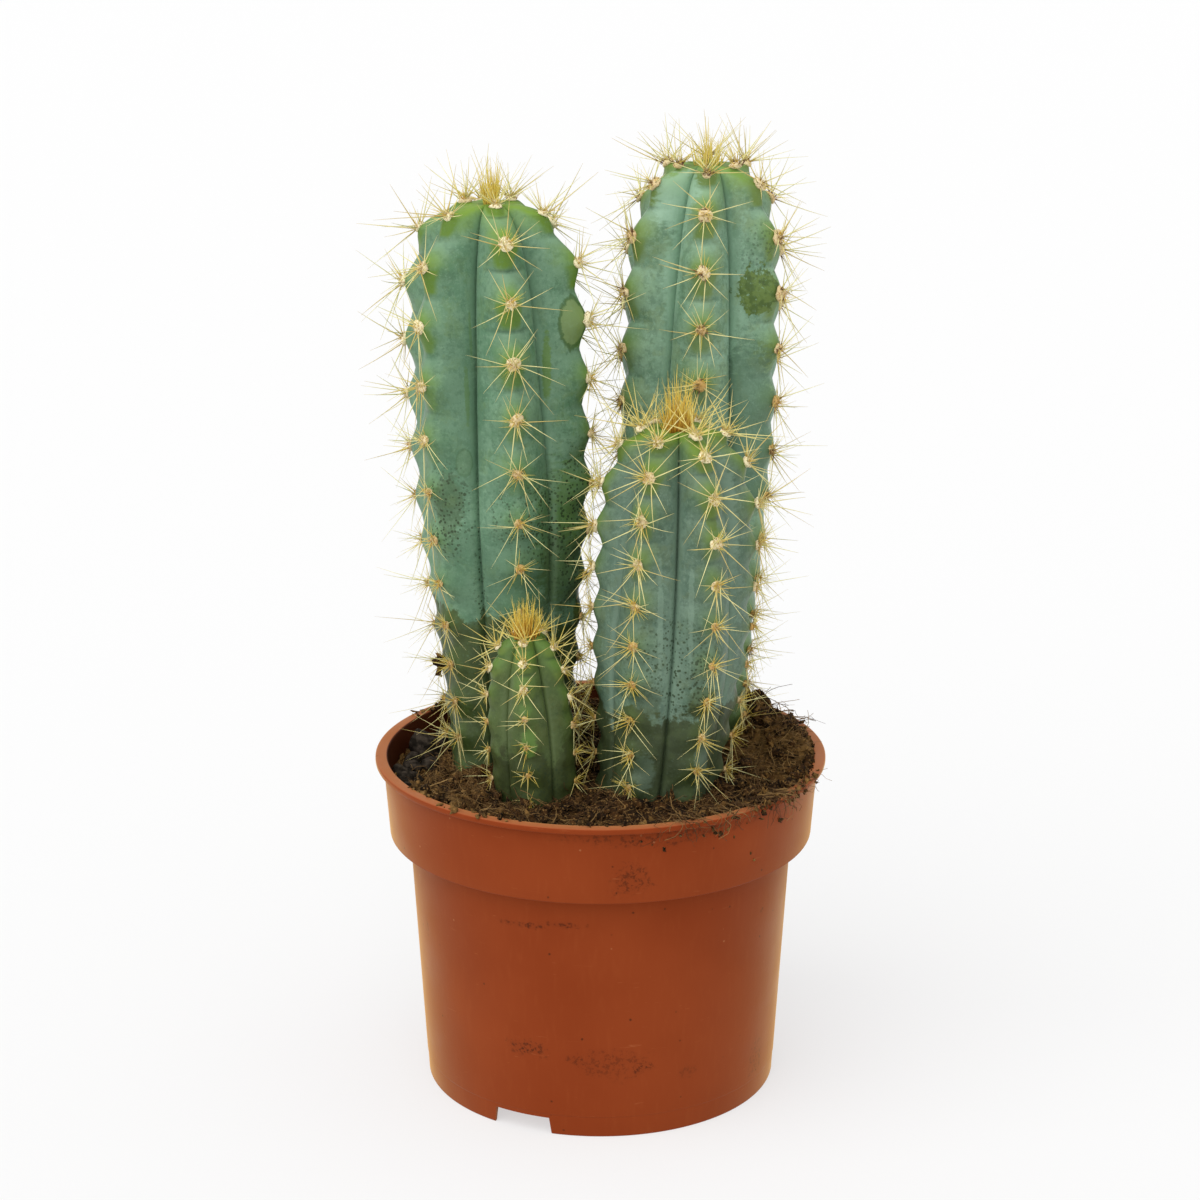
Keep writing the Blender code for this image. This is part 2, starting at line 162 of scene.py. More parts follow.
FRONT_STAINS = (
    ("speck", 0, 128, 12, 12, 1.0), ("speck", 20, 118, 9, 9, 1.0), ("olive", 30, 164, 1.6, 6, 0.9),
    ("pale", -12, 140, 0.8, 18, 0.6), ("pale", 13, 140, 0.8, 18, 0.6), ("worn", -20, 117, 4, 5, 0.5),
    ("worn", 27, 116, 4, 4, 0.5), ("pale", 61, 160, 4, 22, 0.7), ("pale", -19, 97, 3.0, 6.0, 0.35),
    ("pale", 38, 99, 2.5, 11.0, 0.4),
)
PUP_STAINS = (
    ("fresh", -4, 104.5, 2.2, 4.2, 0.9), ("fresh", -6, 114, 1.8, 3.4, 0.45), ("pale", 34, 100, 2.6, 9, 0.3),
    ("pale", 22, 118, 2.2, 6, 0.25), ("pale", -38, 112, 2.6, 12, 0.3), ("speck", 10, 95, 8, 6, 0.8),
)

# The stems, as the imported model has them. Each line holds the left, right and front stem and the pup.
ODD_FIRST = (1, 0, 1, 0, 1, 0)
EVEN_FIRST = (0, 1, 0, 1, 0, 1)
STRAIGHT = (0, 0, 0, 0, 0, 0)
STEM_VALUES = dict(
    node=("cactus_left", "cactus_right", "cactus_front", "cactus_pup"),
    palette=("skin", "skin", "skin", "pup_skin"),
    seed=(11, 23, 37, 41),
    stains=(LEFT_STAINS, RIGHT_STAINS, FRONT_STAINS, PUP_STAINS),
    ribs=(6, 6, 6, 5),
    first_rib=(12, -2, -30, -7),
    foot=((-23.8, 8), (23.2, 22), (15.0, -20), (-16.6, -24.3)),  # the axis at the soil and at the top
    head=((-28.2, 8), (27.8, 22), (19.6, -20), (-19.0, -24.3)),
    bow=(1.0, 1.0, 2.2, 1.0),  # 1 for a straight stem, more for one that leans mostly near its foot
    foot_radius=(17.2, 17.0, 16.0, 11.0),
    full_radius=(24.0, 22.3, 19.8, 11.2),
    full_height=(178, 190, 135, 100),  # where the full radius is reached
    shoulder=(203, 206, 152, 104),  # where the crown's dome starts
    top=(237.3, 246.0, 185.5, 131.5),
    dent=(1.6, 3.2, 3.6, 1.4),  # how deep the crown's middle is sunk
    furrow_head=(0.50, 0.50, 0.55, 0.55),  # the furrow's radius as a share of the rib's, at the crown
    turns=(STRAIGHT, STRAIGHT, (4, -4, 0, 0, 0, 0), STRAIGHT),  # how far each rib turns aside in the crown
    row_foot=(4.72, 4.4, 4.61, 3.9),  # between two rows of areoles, at the soil and at the shoulder
    row_head=(7.61, 7.35, 5.55, 3.75),
    row_power=(1.11, 1.25, 1.42, 1.4),
    crown_gap=(6.02, 7.5, 8.62, 5.7),
    crowding=(1.0, 0.4, 0.4, 0.7),  # the spacing in the middle of the crown, as a share of that below
    parity=(EVEN_FIRST, ODD_FIRST, ODD_FIRST, (0, 1, 0, 0, 1)),  # which rows each rib has its areoles on
    spine_length=(16.5, 16.0, 15.5, 12.0),
    low_spines=(0.95, 0.9, 0.85, 0.6),  # the spines' length near the soil, as a share of that above
    dense=(1.0, 0.9, 1.05, 0.62),  # how many spines an areole has, as a share of the usual number
    gilt=(0.22, 0.15, 0.5, 0.5),  # how golden the crown's spines are, from 0 to 1
    root_brown=(0.3, 1.0, 0.35, 0.3),  # how brown the spines' roots are, from 0 to 1
    tuft=(110, 60, 170, 150),  # the bristles in the crown's middle
    tuft_length=(14.5, 14.0, 19.0, 12.5),
    tuft_radius=(1.9, 3.6, 3.0, 3.2),
    tuft_lean=(0.30, 0.55, 0.34, 0.5),  # how far the outer bristles lean out
    halo=(0.4, 0.9, 0.5, 0.3),  # how green the skin is round the areoles, from 0 to 1
    leafy=(0.9, 0.8, 0.95, 0.25),  # how green the skin is all over the crown, from 0 to 1
    bare_below=(129, 100, 111, 100),  # the height under which the wax has worn off
    waxed=((0.080, 0.182, 0.100), (0.108, 0.211, 0.130), (0.064, 0.121, 0.083), (0.040, 0.068, 0.016)),
    waxed_light=((0.140, 0.252, 0.158), (0.206, 0.338, 0.235), (0.120, 0.190, 0.134), (0.063, 0.095, 0.025)),
    bare=((0.036, 0.053, 0.010), (0.05, 0.085, 0.018), (0.030, 0.042, 0.013), (0.027, 0.037, 0.009)),
    fresh=((0.20, 0.34, 0.035), (0.20, 0.36, 0.055), (0.160, 0.270, 0.022), (0.10, 0.20, 0.035)),
    olive=((0.100, 0.190, 0.012), (0.125, 0.195, 0.035), (0.105, 0.170, 0.022), (0.12, 0.18, 0.03)),
)
STEMS = [SimpleNamespace(**dict(zip(STEM_VALUES, values))) for values in zip(*STEM_VALUES.values())]
WIDEST = max(STEM_VALUES["full_radius"])


# ---- numbers ----


def blend(a, b, share):
    return a + (b - a) * share


def smooth(share):
    share = np.clip(share, 0.0, 1.0)
    return share * share * (3 - 2 * share)


def bell(distance, width):
    return np.exp(-((distance / width) ** 2))


def unit(vectors):
    return vectors / np.linalg.norm(vectors, axis=-1, keepdims=True)


def from_front(angle, radius, height):
    """Points at these angles, in degrees from the front, about the Z axis."""
    turn = np.radians(angle)
    return np.stack(np.broadcast_arrays(radius * np.sin(turn), -radius * np.cos(turn), height), axis=-1)


def on_plan(angle, radius):
    return from_front(angle, radius, 0.0)[..., :2]


def lattice(cells, seed):
    """A repeatable number from -1 to 1 for each whole-numbered cell."""
    mask = 0xFFFFFFFF
    x, y, z = np.moveaxis(cells, -1, 0)
    mixed = (x * 374761393 + y * 668265263 + z * 2246822519 + seed * 3266489917) & mask
    mixed = ((mixed ^ (mixed >> 13)) * 1274126177) & mask
    mixed ^= mixed >> 16
    return mixed / (mask / 2) - 1


def noise(points, size, seed=0):
    """Smooth noise from -1 to 1 with features of about this size."""
    scaled = np.asarray(points) / size
    cell = np.floor(scaled).astype(np.int64)
    part = scaled - cell
    part = part * part * (3 - 2 * part)
    total = 0
    for corner in itertools.product((0, 1), repeat=3):
        weight = np.prod(np.where(corner, part, 1 - part), axis=-1)
        total = total + weight * lattice(cell + np.array(corner), seed)
    return total


def fractal(points, size, octaves, seed=0):
    return sum(noise(points, size / 2**i, seed + i) / 2**i for i in range(octaves))


# ---- meshes ----


def stand(name, data, collection=None):
    """A new object in the scene, or in this collection."""
    made = bpy.data.objects.new(name, data)
    (collection or bpy.context.scene.collection).objects.link(made)
    return made


def add_mesh(name, points, faces, finish, node=None, slot=None, **attributes):
    """A mesh object from points in millimetres and a list of face arrays, riding on the part's body.

    An attribute has a value for each point, or one for each run of as many points.
    """
    mesh = bpy.data.meshes.new(name)
    mesh.from_pydata(points * MM, [], [face for some in faces for face in some.tolist()], shade_flat=False)
    mesh.validate()
    for title, values in attributes.items():
        values = np.repeat(np.asarray(values, np.float32), len(points) // len(values))
        mesh.attributes.new(title, "FLOAT", "POINT").data.foreach_set("value", values)
    mesh.materials.append(finish)
    piece = stand(name, mesh)
    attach(piece, "root")
    if node:
        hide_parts(node)
    return piece


def grid_faces(rows, columns):
    """The quads of a grid of points, row by row, joined round its columns."""
    row = np.arange(rows - 1)[:, None] * columns
    column = np.arange(columns)[None, :]
    beside = (column + 1) % columns
    corners = [row + column, row + beside, row + columns + beside, row + columns + column]
    return np.stack(corners, axis=-1).reshape(-1, 4)


def fan_faces(first, count, hub):
    """The triangles from a ring of points, numbered from the first, to a hub."""
    ring = np.arange(count)
    return np.stack([first + ring, first + (ring + 1) % count, np.full(count, hub)], axis=-1)


def capped(rows, columns):
    """The faces of a grid closed by two more points, one in its first row and one in its last."""
    count = rows * columns
    low = fan_faces(0, columns, count)[:, ::-1]
    high = fan_faces(count - columns, columns, count + 1)
    return [grid_faces(rows, columns), np.vstack([low, high])]


def copies(shapes, count, each):
    """The faces of one body, repeated for this many bodies of each points."""
    offsets = (np.arange(count) * each)[:, None, None]
    return [(faces[None] + offsets).reshape(-1, faces.shape[1]) for faces in shapes]


def across(directions):
    """Two unit vectors square to each direction and to each other."""
    helper = np.where(np.abs(directions[..., 2:]) < 0.8, [0.0, 0.0, 1.0], [1.0, 0.0, 0.0])
    side = unit(np.cross(directions, helper))
    return side, np.cross(directions, side)


def rings_round(directions, sides):
    """Unit vectors square to each direction, evenly round it."""
    side, other = across(directions)
    turn = np.linspace(0, math.tau, sides, endpoint=False)[:, None]
    return np.cos(turn) * side[..., None, :] + np.sin(turn) * other[..., None, :]


def needles(roots, directions, lengths, widths, bends, sides, steps, tip):
    """Tapering curved needles: (points, faces, share of the way to the tip)."""
    count = len(roots)
    directions = unit(directions)
    share = np.linspace(0, 1, steps + 1)
    middle = (
        roots[:, None]
        + directions[:, None] * lengths[:, None, None] * share[None, :, None]
        + bends[:, None] * lengths[:, None, None] * (share**2)[None, :, None]
    )
    taper = (1 - (1 - tip) * share**1.3)[None, :, None, None] * widths[:, None, None, None] / 2
    each = (steps + 1) * sides
    points = (middle[:, :, None] + rings_round(directions, sides)[:, None] * taper).reshape(count, each, 3)
    tips = middle[:, -1] + directions * widths[:, None] * 0.6
    points = np.concatenate([points, tips[:, None]], axis=1).reshape(-1, 3)
    shapes = (grid_faces(steps + 1, sides), fan_faces(steps * sides, sides, each))
    return points, copies(shapes, count, each + 1), np.tile([*np.repeat(share, sides), 1.0], count)


def lumps(centres, sizes, turns, roughness, seed, rings, sides):
    """Irregular lumps: sizes are half-widths along each lump's own axes, turns its axes as rows."""
    ball = [
        (math.sin(polar) * math.cos(turn), math.sin(polar) * math.sin(turn), -math.cos(polar))
        for polar in np.linspace(0, math.pi, rings + 2)[1:-1]
        for turn in np.linspace(0, math.tau, sides, endpoint=False)
    ]
    ball = np.array([*ball, (0, 0, -1), (0, 0, 1)])
    placed = np.einsum("nij,njk->nik", ball * sizes[:, None], turns) + centres[:, None]
    swell = noise(placed, float(np.mean(sizes)) * 0.9, seed)[..., None] * roughness
    placed = centres[:, None] + (placed - centres[:, None]) * (1 + swell)
    return placed.reshape(-1, 3), copies(capped(rings, sides), len(centres), len(ball))


def random_turns(random, count):
    """Random sets of three axes."""
    first = unit(random.normal(size=(count, 3)))
    return np.stack([first, *across(first)], axis=1)


def joined(*parts):
    """Several (points, [quads, triangles], a value for each run of points) as one."""
    points, faces, values = zip(*parts)
    starts = np.cumsum([0, *map(len, points[:-1])])
    faces = [np.concatenate([some + start for some, start in zip(kind, starts)]) for kind in zip(*faces)]
    values = [np.repeat(some, len(own) // len(some)) for some, own in zip(values, points)]
    return np.concatenate(points), faces, np.concatenate(values)


# ---- materials ----


class Finish:
    """A procedural material around one Principled shader."""

    def __init__(self, name, roughness, specular):
        self.material = bpy.data.materials.new(name)
        self.material.use_nodes = True
        self.tree = self.material.node_tree
        self.set("Principled BSDF", {"Roughness": roughness, "Specular IOR Level": specular})
        self.place = self.node("TexCoord")["Object"]

    def set(self, name, inputs):
        """Links or sets these inputs of a node."""
        node = self.tree.nodes[name]
        for title, value in inputs.items():
            if isinstance(value, bpy.types.NodeSocket):
                self.tree.links.new(value, node.inputs[title])
            elif node.inputs[title].type == "RGBA":
                node.inputs[title].default_value = (*value, 1.0)
            else:
                node.inputs[title].default_value = value

    def node(self, kind, inputs=None, **settings):
        """The outputs of a new node."""
        made = self.tree.nodes.new("ShaderNode" + kind)
        for title, value in settings.items():
            setattr(made, title, value)
        self.set(made.name, inputs or {})
        return made.outputs

    def math(self, operation, a, b, clamp=False):
        return self.node("Math", {0: a, 1: b}, operation=operation, use_clamp=clamp)[0]

    def times(self, a, b):
        return self.math("MULTIPLY", a, b)

    def plus(self, a, b):
        return self.math("ADD", a, b)

    def vector(self, operation, a, b):
        return self.node("VectorMath", {0: a, 1: b}, operation=operation)

    def attribute(self, title):
        return self.node("Attribute", attribute_name=title)["Fac"]

    def stretched(self, stretch):
        return self.node("Mapping", {"Vector": self.place, "Scale": stretch})["Vector"]

    def noise(self, size, detail, roughness=0.5, stretch=None, distortion=0.0):
        """Noise with features of this size in millimetres."""
        place = self.stretched(stretch) if stretch else self.place
        inputs = {"Vector": place, "Scale": 1 / (size * MM), "Detail": detail}
        return self.node("TexNoise", {**inputs, "Roughness": roughness, "Distortion": distortion})["Fac"]

    def cells(self, size):
        return self.node("TexVoronoi", {"Vector": self.place, "Scale": 1 / (size * MM)})

    def step(self, value, low, high):
        """0 under low, 1 over high, smooth between; the other way round if low is over high."""
        limits = (low, high, 0.0, 1.0) if low <= high else (high, low, 1.0, 0.0)
        inputs = {"Value": value, **dict(zip(("From Min", "From Max", "To Min", "To Max"), limits))}
        return self.node("MapRange", inputs, interpolation_type="SMOOTHSTEP")["Result"]

    def patches(self, low, high, *size, **kinds):
        """Noise cut to patches between these two limits."""
        return self.step(self.noise(*size, **kinds), low, high)

    def mix(self, share, a, b):
        return self.node("Mix", {0: share, 6: a, 7: b}, data_type="RGBA")[2]

    def laid(self, share, over, tone, most):
        """The tone laid over a colour, this share of the most."""
        return self.mix(self.times(share, most), over, tone)

    def bump(self, height, depth, over=None):
        """Relief of this depth in millimetres, over another one."""
        inputs = {"Distance": depth * MM, "Height": height}
        return self.node("Bump", {**inputs, "Normal": over} if over else inputs)["Normal"]

    def oval(self, spot, wide, tall):
        """The distance from a spot, counted to be 1 at the edge of an upright oval this wide and tall."""
        away = self.vector("SUBTRACT", self.place, spot * MM)["Vector"]
        away = self.vector("DIVIDE", away, np.array([wide, wide, tall]) * MM)["Vector"]
        return self.node("VectorMath", {0: away}, operation="LENGTH")["Value"]

    def finish(self, colour, relief=None, roughness=None):
        given = {"Base Color": colour, "Normal": relief, "Roughness": roughness}
        self.set("Principled BSDF", {title: value for title, value in given.items() if value is not None})
        return self.material


def skin_finish(stem, surface):
    """The skin: bare green under a blue wax that is worn, speckled, cloudy and streaked, with painted light
    towards the furrows and painted shade in the creases and along the furrows' bottoms.
    """
    look = Finish(f"{stem.node} skin", 0.5, 0.3)

    def uneven(size, amount, detail=4, stretch=None):
        return look.times(look.math("SUBTRACT", look.noise(size, detail, 0.65, stretch), 0.5), amount)

    fine = look.noise(0.7, 3)
    light = stem.waxed_light
    bloom = tuple(value * 1.3 + 0.02 for value in light)
    thin = tuple(value * 0.72 for value in stem.waxed)
    warm = tuple(stem.waxed * np.array(WARMER))
    wax = look.mix(look.patches(0.36, 0.66, 11, 5, 0.6), stem.waxed, light)
    for tone, most, *patches in (  # the patches' two limits, size, detail and roughness
        (bloom, 0.26, 0.54, 0.58, 6.0, 6, 0.75),
        (warm, 0.5, 0.50, 0.60, 7.5, 5, 0.65),
        (light, 0.75, 0.46, 0.66, 2.1, 5, 0.75),
        (thin, 0.5, 0.50, 0.38, 1.8, 5, 0.68),
        (bloom, 0.34, 0.56, 0.66, 0.9, 4, 0.7),
        (light, 0.4, 0.55, 0.75, 1.1, 3, 0.5, (1, 1, 0.07)),
    ):
        wax = look.laid(look.patches(*patches), wax, tone, most)
    wax = look.laid(look.step(look.cells(3.1)["Distance"], 0.13, 0.08), wax, light, 0.3)
    # The pale mark lays bloom over the wax: pale wax above the young areoles and along old crests, and
    # painted light towards the furrows.
    wax = look.laid(look.attribute("pale"), wax, bloom, 0.8)
    bare = look.mix(look.patches(0.4, 0.7, 3, 4), stem.bare, tuple(value * 1.5 for value in stem.bare))
    worn = look.step(look.plus(look.attribute("worn"), uneven(4.5, 1.5, 5)), 0.42, 0.58)
    colour = look.laid(worn, wax, bare, 0.93)
    blotch = look.plus(uneven(1.8, 0.7), 1.0)
    for title, tone in (("fresh", stem.fresh), ("olive", stem.olive)):
        share = look.math("MULTIPLY", look.attribute(title), blotch, clamp=True)
        colour = look.laid(share, colour, tone, 0.92)
    ragged = uneven(2.4, 1.5, 5, (1, 1, 2.2))
    spots = look.step(look.plus(look.cells(1.0)["Distance"], uneven(2.0, 0.7, 2)), 0.40, 0.24)
    torn_green = look.mix(look.patches(0.42, 0.58, 1.8, 4), (0.105, 0.165, 0.034), (0.060, 0.105, 0.018))
    pit, deep, healed, healed_rim = (
        (0.024, 0.044, 0.016), (0.012, 0.040, 0.016), (0.165, 0.235, 0.075), (0.040, 0.095, 0.018)
    )
    tones = dict(
        olive=stem.olive, fresh=stem.fresh, smear=torn_green, pale=bloom, worn=bare, speck=pit, thin=thin
    )
    for kind, angle, height, wide, tall, amount in stem.stains:
        far = look.oval(surface_spot(stem, surface, angle, height), wide, tall)
        if kind == "ring":
            edge = look.plus(far, uneven(2.0, 0.5))
            colour = look.laid(look.step(edge, 1.05, 0.85), colour, healed, 0.75 * amount**2)
            rim = look.times(look.step(edge, 0.82, 0.94), look.step(edge, 1.14, 1.02))
            colour = look.laid(rim, colour, healed_rim, 0.75 * amount)
            continue
        if kind == "smear":
            torn = look.step(look.plus(far, uneven(3.0, 3.0, 5)), 1.15, 0.95)
            share = look.times(torn, look.patches(0.34, 0.44, 1.2, 4, 0.7))
        elif kind == "speck":
            share = look.times(look.step(look.plus(far, ragged), 1.3, 0.5), spots)
        else:
            share = look.step(look.plus(far, ragged), 1.15, 0.75)
        colour = look.laid(share, colour, tones[kind], 0.8 * amount)
    # Painted shade in the creases and along the furrows' bottoms.
    colour = look.laid(look.attribute("painted_shade"), colour, deep, 0.9)
    colour = look.laid(look.step(fine, 0.55, 0.8), colour, bloom, 0.15)
    relief = look.bump(look.noise(2.4, 3), 0.2, look.bump(fine, 0.05))
    return look.finish(colour, relief, look.patches(-0.5, 1.5, 11, 5))


def spine_finish():
    """Straw at the middle, brown at the root and the tip, and golden in the crowns' tufts."""
    look = Finish("spine straw", 0.4, 0.4)
    share = look.attribute("share")
    straw = look.mix(look.attribute("tone"), (0.78, 0.73, 0.33), (0.60, 0.45, 0.13))
    gilt = look.attribute("gold")
    yellow = look.plus(share, look.times(look.math("SUBTRACT", 1.0, gilt), 2.0))
    gold = look.mix(look.step(yellow, 0.1, 1.1), (0.56, 0.23, 0.010), (0.82, 0.64, 0.10))
    straw = look.mix(look.step(gilt, 0.0, 0.9), straw, gold)
    straw = look.laid(look.step(share, 0.8, 1.0), straw, (0.36, 0.20, 0.07), 0.35)
    root = look.times(look.step(share, 0.26, 0.06), look.attribute("root"))
    colour = look.mix(root, straw, (0.13, 0.055, 0.02))
    colour = look.laid(look.patches(0.5, 0.8, 1.2, 2), colour, (0.9, 0.82, 0.5), 0.12)
    return look.finish(colour, look.bump(look.noise(0.5, 2), 0.02))


def wool_finish():
    look = Finish("areole wool", 0.9, 0.1)
    cream = look.mix(look.attribute("tone"), (0.92, 0.83, 0.55), (0.58, 0.36, 0.12))
    colour = look.mix(look.patches(0.51, 0.70, 0.5, 3), cream, (0.42, 0.24, 0.08))
    return look.finish(colour, look.bump(look.noise(0.35, 3), 0.2))


# The marks on the pot: angle, height, half-width, half-height and strength. The last is a darker band just
# under the lip at the front right.
POT_MARKS = (
    (-22.5, 24.0, 5.0, 2.4, 1.0), (-8.0, 22.5, 2.2, 1.6, 0.6), (3.0, 21.5, 9.0, 4.2, 0.5),
    (13.0, 20.0, 2.4, 1.8, 0.8), (28.0, 16.5, 3.0, 2.0, 0.4), (8.0, 75.5, 4.8, 4.6, 0.75),
    (-23.0, 59.6, 6.0, 0.9, 0.9), (-10.0, 60.7, 6.0, 0.9, 0.9), (-67.0, 47.0, 0.9, 3.5, 0.7),
    (57.0, 55.7, 0.8, 0.8, 1.0), (60.0, 12.0, 4.0, 6.0, 0.5), (18.0, 87.0, 24.0, 2.2, 0.7),
)


def pot_finish():
    """Worn terracotta-coloured plastic: dust, smudges of soil, specks and fine scratches, with a painted
    highlight on the faces that look up and painted shade on those that face inwards.
    """
    look = Finish("pot plastic", 0.45, 0.05)
    facing = look.node("TexCoord")["Normal"]
    outside = look.step(look.vector("DOT_PRODUCT", facing, look.stretched((1, 1, 0)))["Value"], -0.03, -0.006)
    level = look.node("SeparateXYZ", {0: facing})["Z"]
    dusty = look.times(outside, look.step(level, -0.5, -0.15))
    look.set("Principled BSDF", {
        "Specular Tint": (1.0, 0.70, 0.40),
        "Sheen Weight": look.times(dusty, 0.8),
        "Sheen Roughness": 0.35,
        "Sheen Tint": (1.0, 0.62, 0.22),
    })
    colour = look.mix(look.patches(0.35, 0.7, 38, 3), (0.209, 0.034, 0.0085), (0.238, 0.042, 0.0110))
    # Faces that look up, the lip's top most of all, are made lighter: a painted highlight.
    colour = look.laid(look.step(level, 0.5, 0.95), colour, (0.37, 0.105, 0.040), 0.8)
    streaks = look.patches(0.5, 0.8, 1.4, 3, stretch=(1, 1, 0.2))
    colour = look.laid(streaks, colour, (0.36, 0.10, 0.03), 0.07)
    specks = look.cells(4.2)
    dots = look.step(look.plus(specks["Distance"], look.times(look.noise(0.8, 2), 0.12)), 0.16, 0.11)
    chance = look.node("SeparateColor", {0: specks["Color"]})[0]
    dots = look.times(dots, look.step(chance, 0.6, 0.75))
    colour = look.laid(dots, colour, (0.05, 0.014, 0.006), 0.75)
    colour = look.laid(look.step(look.cells(8.7)["Distance"], 0.045, 0.02), colour, (0.45, 0.20, 0.09), 0.4)
    ragged = look.times(look.math("SUBTRACT", look.noise(2.6, 5, 0.7), 0.5), 2.9)
    grain = look.plus(look.times(look.patches(0.50, 0.58, 1.0, 5, 0.7), 0.88), 0.12)
    for angle, height, wide, tall, amount in POT_MARKS:
        radius = body_radius(height) if height < COLLAR_FOOT else COLLAR_FOOT_RADIUS + 0.4
        far = look.oval(from_front(angle, radius, height), wide, tall)
        dark_mark = look.times(look.step(look.plus(far, ragged), 1.3, 0.5), grain)
        colour = look.laid(dark_mark, colour, (0.055, 0.013, 0.006), 0.85 * amount)
    scratch = look.patches(0.735, 0.745, 9, 2, stretch=(1, 1, 14), distortion=1.5)
    colour = look.laid(scratch, colour, (0.45, 0.16, 0.06), 0.22)
    # Faces that look inwards, inside the walls and the foot, are darkened: painted shade.
    colour = look.laid(look.step(outside, 0.5, 0.0), colour, (0.035, 0.014, 0.006), 0.75)
    return look.finish(colour, look.bump(look.noise(0.9, 2), 0.012), look.patches(-0.6, 1.8, 20, 4))


def peat_finish():
    look = Finish("peat", 0.95, 0.15)
    colour = look.mix(look.patches(0.40, 0.62, 2.6, 5, 0.65), (0.011, 0.0055, 0.002), (0.070, 0.030, 0.0075))
    colour = look.laid(look.patches(0.50, 0.38, 5.5, 3), colour, (0.012, 0.006, 0.002), 0.6)
    colour = look.laid(look.patches(0.54, 0.67, 0.7, 3), colour, (0.28, 0.155, 0.050), 0.7)
    # The light mark: paler crumbs and peat, and on the heap painted light.
    colour = look.mix(look.attribute("light"), colour, (0.28, 0.152, 0.044))
    return look.finish(colour, look.bump(look.noise(0.8, 5), 0.9))


def bark_finish():
    look = Finish("bark", 0.95, 0.05)
    colour = look.mix(look.patches(0.35, 0.65, 2.0, 4), (0.014, 0.011, 0.008), (0.058, 0.045, 0.034))
    return look.finish(colour, look.bump(look.noise(1.0, 3), 0.7))


def fibre_finish():
    look = Finish("peat fibre", 0.85, 0.2)
    colour = look.mix(look.attribute("light"), (0.07, 0.032, 0.010), (0.40, 0.24, 0.085))
    colour = look.laid(look.patches(0.35, 0.65, 3.0, 4), colour, (0.05, 0.027, 0.012), 0.35)
    return look.finish(colour, look.bump(look.noise(1.2, 3), 0.05))


# ---- pot ----


def body_radius(height):
    return blend(FOOT_RADIUS, BODY_TOP_RADIUS, height / COLLAR_FOOT)


def rounded(profile, radius):
    """The profile with each corner turned into a small arc, drawn as a quadratic curve."""
    profile = np.array(profile, float)
    made = []
    for i, corner in enumerate(profile):
        before = profile[i - 1] - corner
        after = profile[(i + 1) % len(profile)] - corner
        reach = min(radius, np.linalg.norm(before) * 0.45, np.linalg.norm(after) * 0.45)
        start, end = corner + unit(before) * reach, corner + unit(after) * reach
        for t in np.linspace(0, 1, 5):
            made.append((1 - t) ** 2 * start + 2 * t * (1 - t) * corner + t**2 * end)
    return np.array(made)


def split_long(profile, longest):
    """The profile with long runs cut into shorter ones."""
    made = []
    for i, start in enumerate(profile):
        end = profile[(i + 1) % len(profile)]
        pieces = max(1, int(math.ceil(np.linalg.norm(end - start) / longest)))
        made += [blend(start, end, k / pieces) for k in range(pieces)]
    return np.array(made)


def pot_profile():
    floor_top = FLOOR_UNDERSIDE + WALL
    lip_underside = POT_HEIGHT - LIP_THICKNESS
    step = body_radius(STEP_HEIGHT)
    corners = [
        (MIDDLE, FLOOR_UNDERSIDE),
        (FOOT_RADIUS - WALL, FLOOR_UNDERSIDE),
        (FOOT_RADIUS - WALL, 0),
        (FOOT_RADIUS - 0.1, 0),
        (step - 0.15, STEP_HEIGHT - 0.1),
        (step, STEP_HEIGHT + 0.2),
        (BODY_TOP_RADIUS, COLLAR_FOOT),
        (COLLAR_FOOT_RADIUS, COLLAR_FOOT),
        (COLLAR_TOP_RADIUS, lip_underside),
        (LIP_RADIUS, lip_underside),
        (LIP_RADIUS, POT_HEIGHT),
        (COLLAR_TOP_RADIUS - WALL, POT_HEIGHT),
        (COLLAR_FOOT_RADIUS - WALL, COLLAR_FOOT + WALL),
        (BODY_TOP_RADIUS - WALL, COLLAR_FOOT + WALL),
        (body_radius(floor_top) - WALL, floor_top),
        (MIDDLE, floor_top),
    ]
    return split_long(rounded(corners, CORNER), LONGEST_RUN)


def add_cutter(rings, crowd):
    """A closed solid for cutting, from two rings of points."""
    rings = np.array(rings)
    points = np.vstack([rings.reshape(-1, 3), rings.mean(axis=1)])
    mesh = bpy.data.meshes.new("cutter")
    mesh.from_pydata(points * MM, [], [face for some in capped(2, rings.shape[1]) for face in some.tolist()])
    stand("cutter", mesh, crowd)


def notch_rings(angle):
    out = from_front(angle, 1.0, 0.0)
    side = np.array([-out[1], out[0], 0.0])
    rings = []
    for height, width in ((-1.0, NOTCH_WIDTH), (NOTCH_HEIGHT, NOTCH_WIDTH - NOTCH_NARROWING)):
        near, far = (out * (FOOT_RADIUS + reach) + [0, 0, height] for reach in NOTCH_REACH)
        half = side * width / 2
        rings.append([near + half, near - half, far - half, far + half])
    return rings


def drain_rings(angle):
    centre = from_front(angle, DRAIN_CIRCLE, 0.0)
    ends = (FLOOR_UNDERSIDE - 1, FLOOR_UNDERSIDE + WALL + 1)
    angles = np.arange(DRAIN_SIDES) * 360 / DRAIN_SIDES
    return [from_front(angles, DRAIN_RADIUS, height) + centre for height in ends]


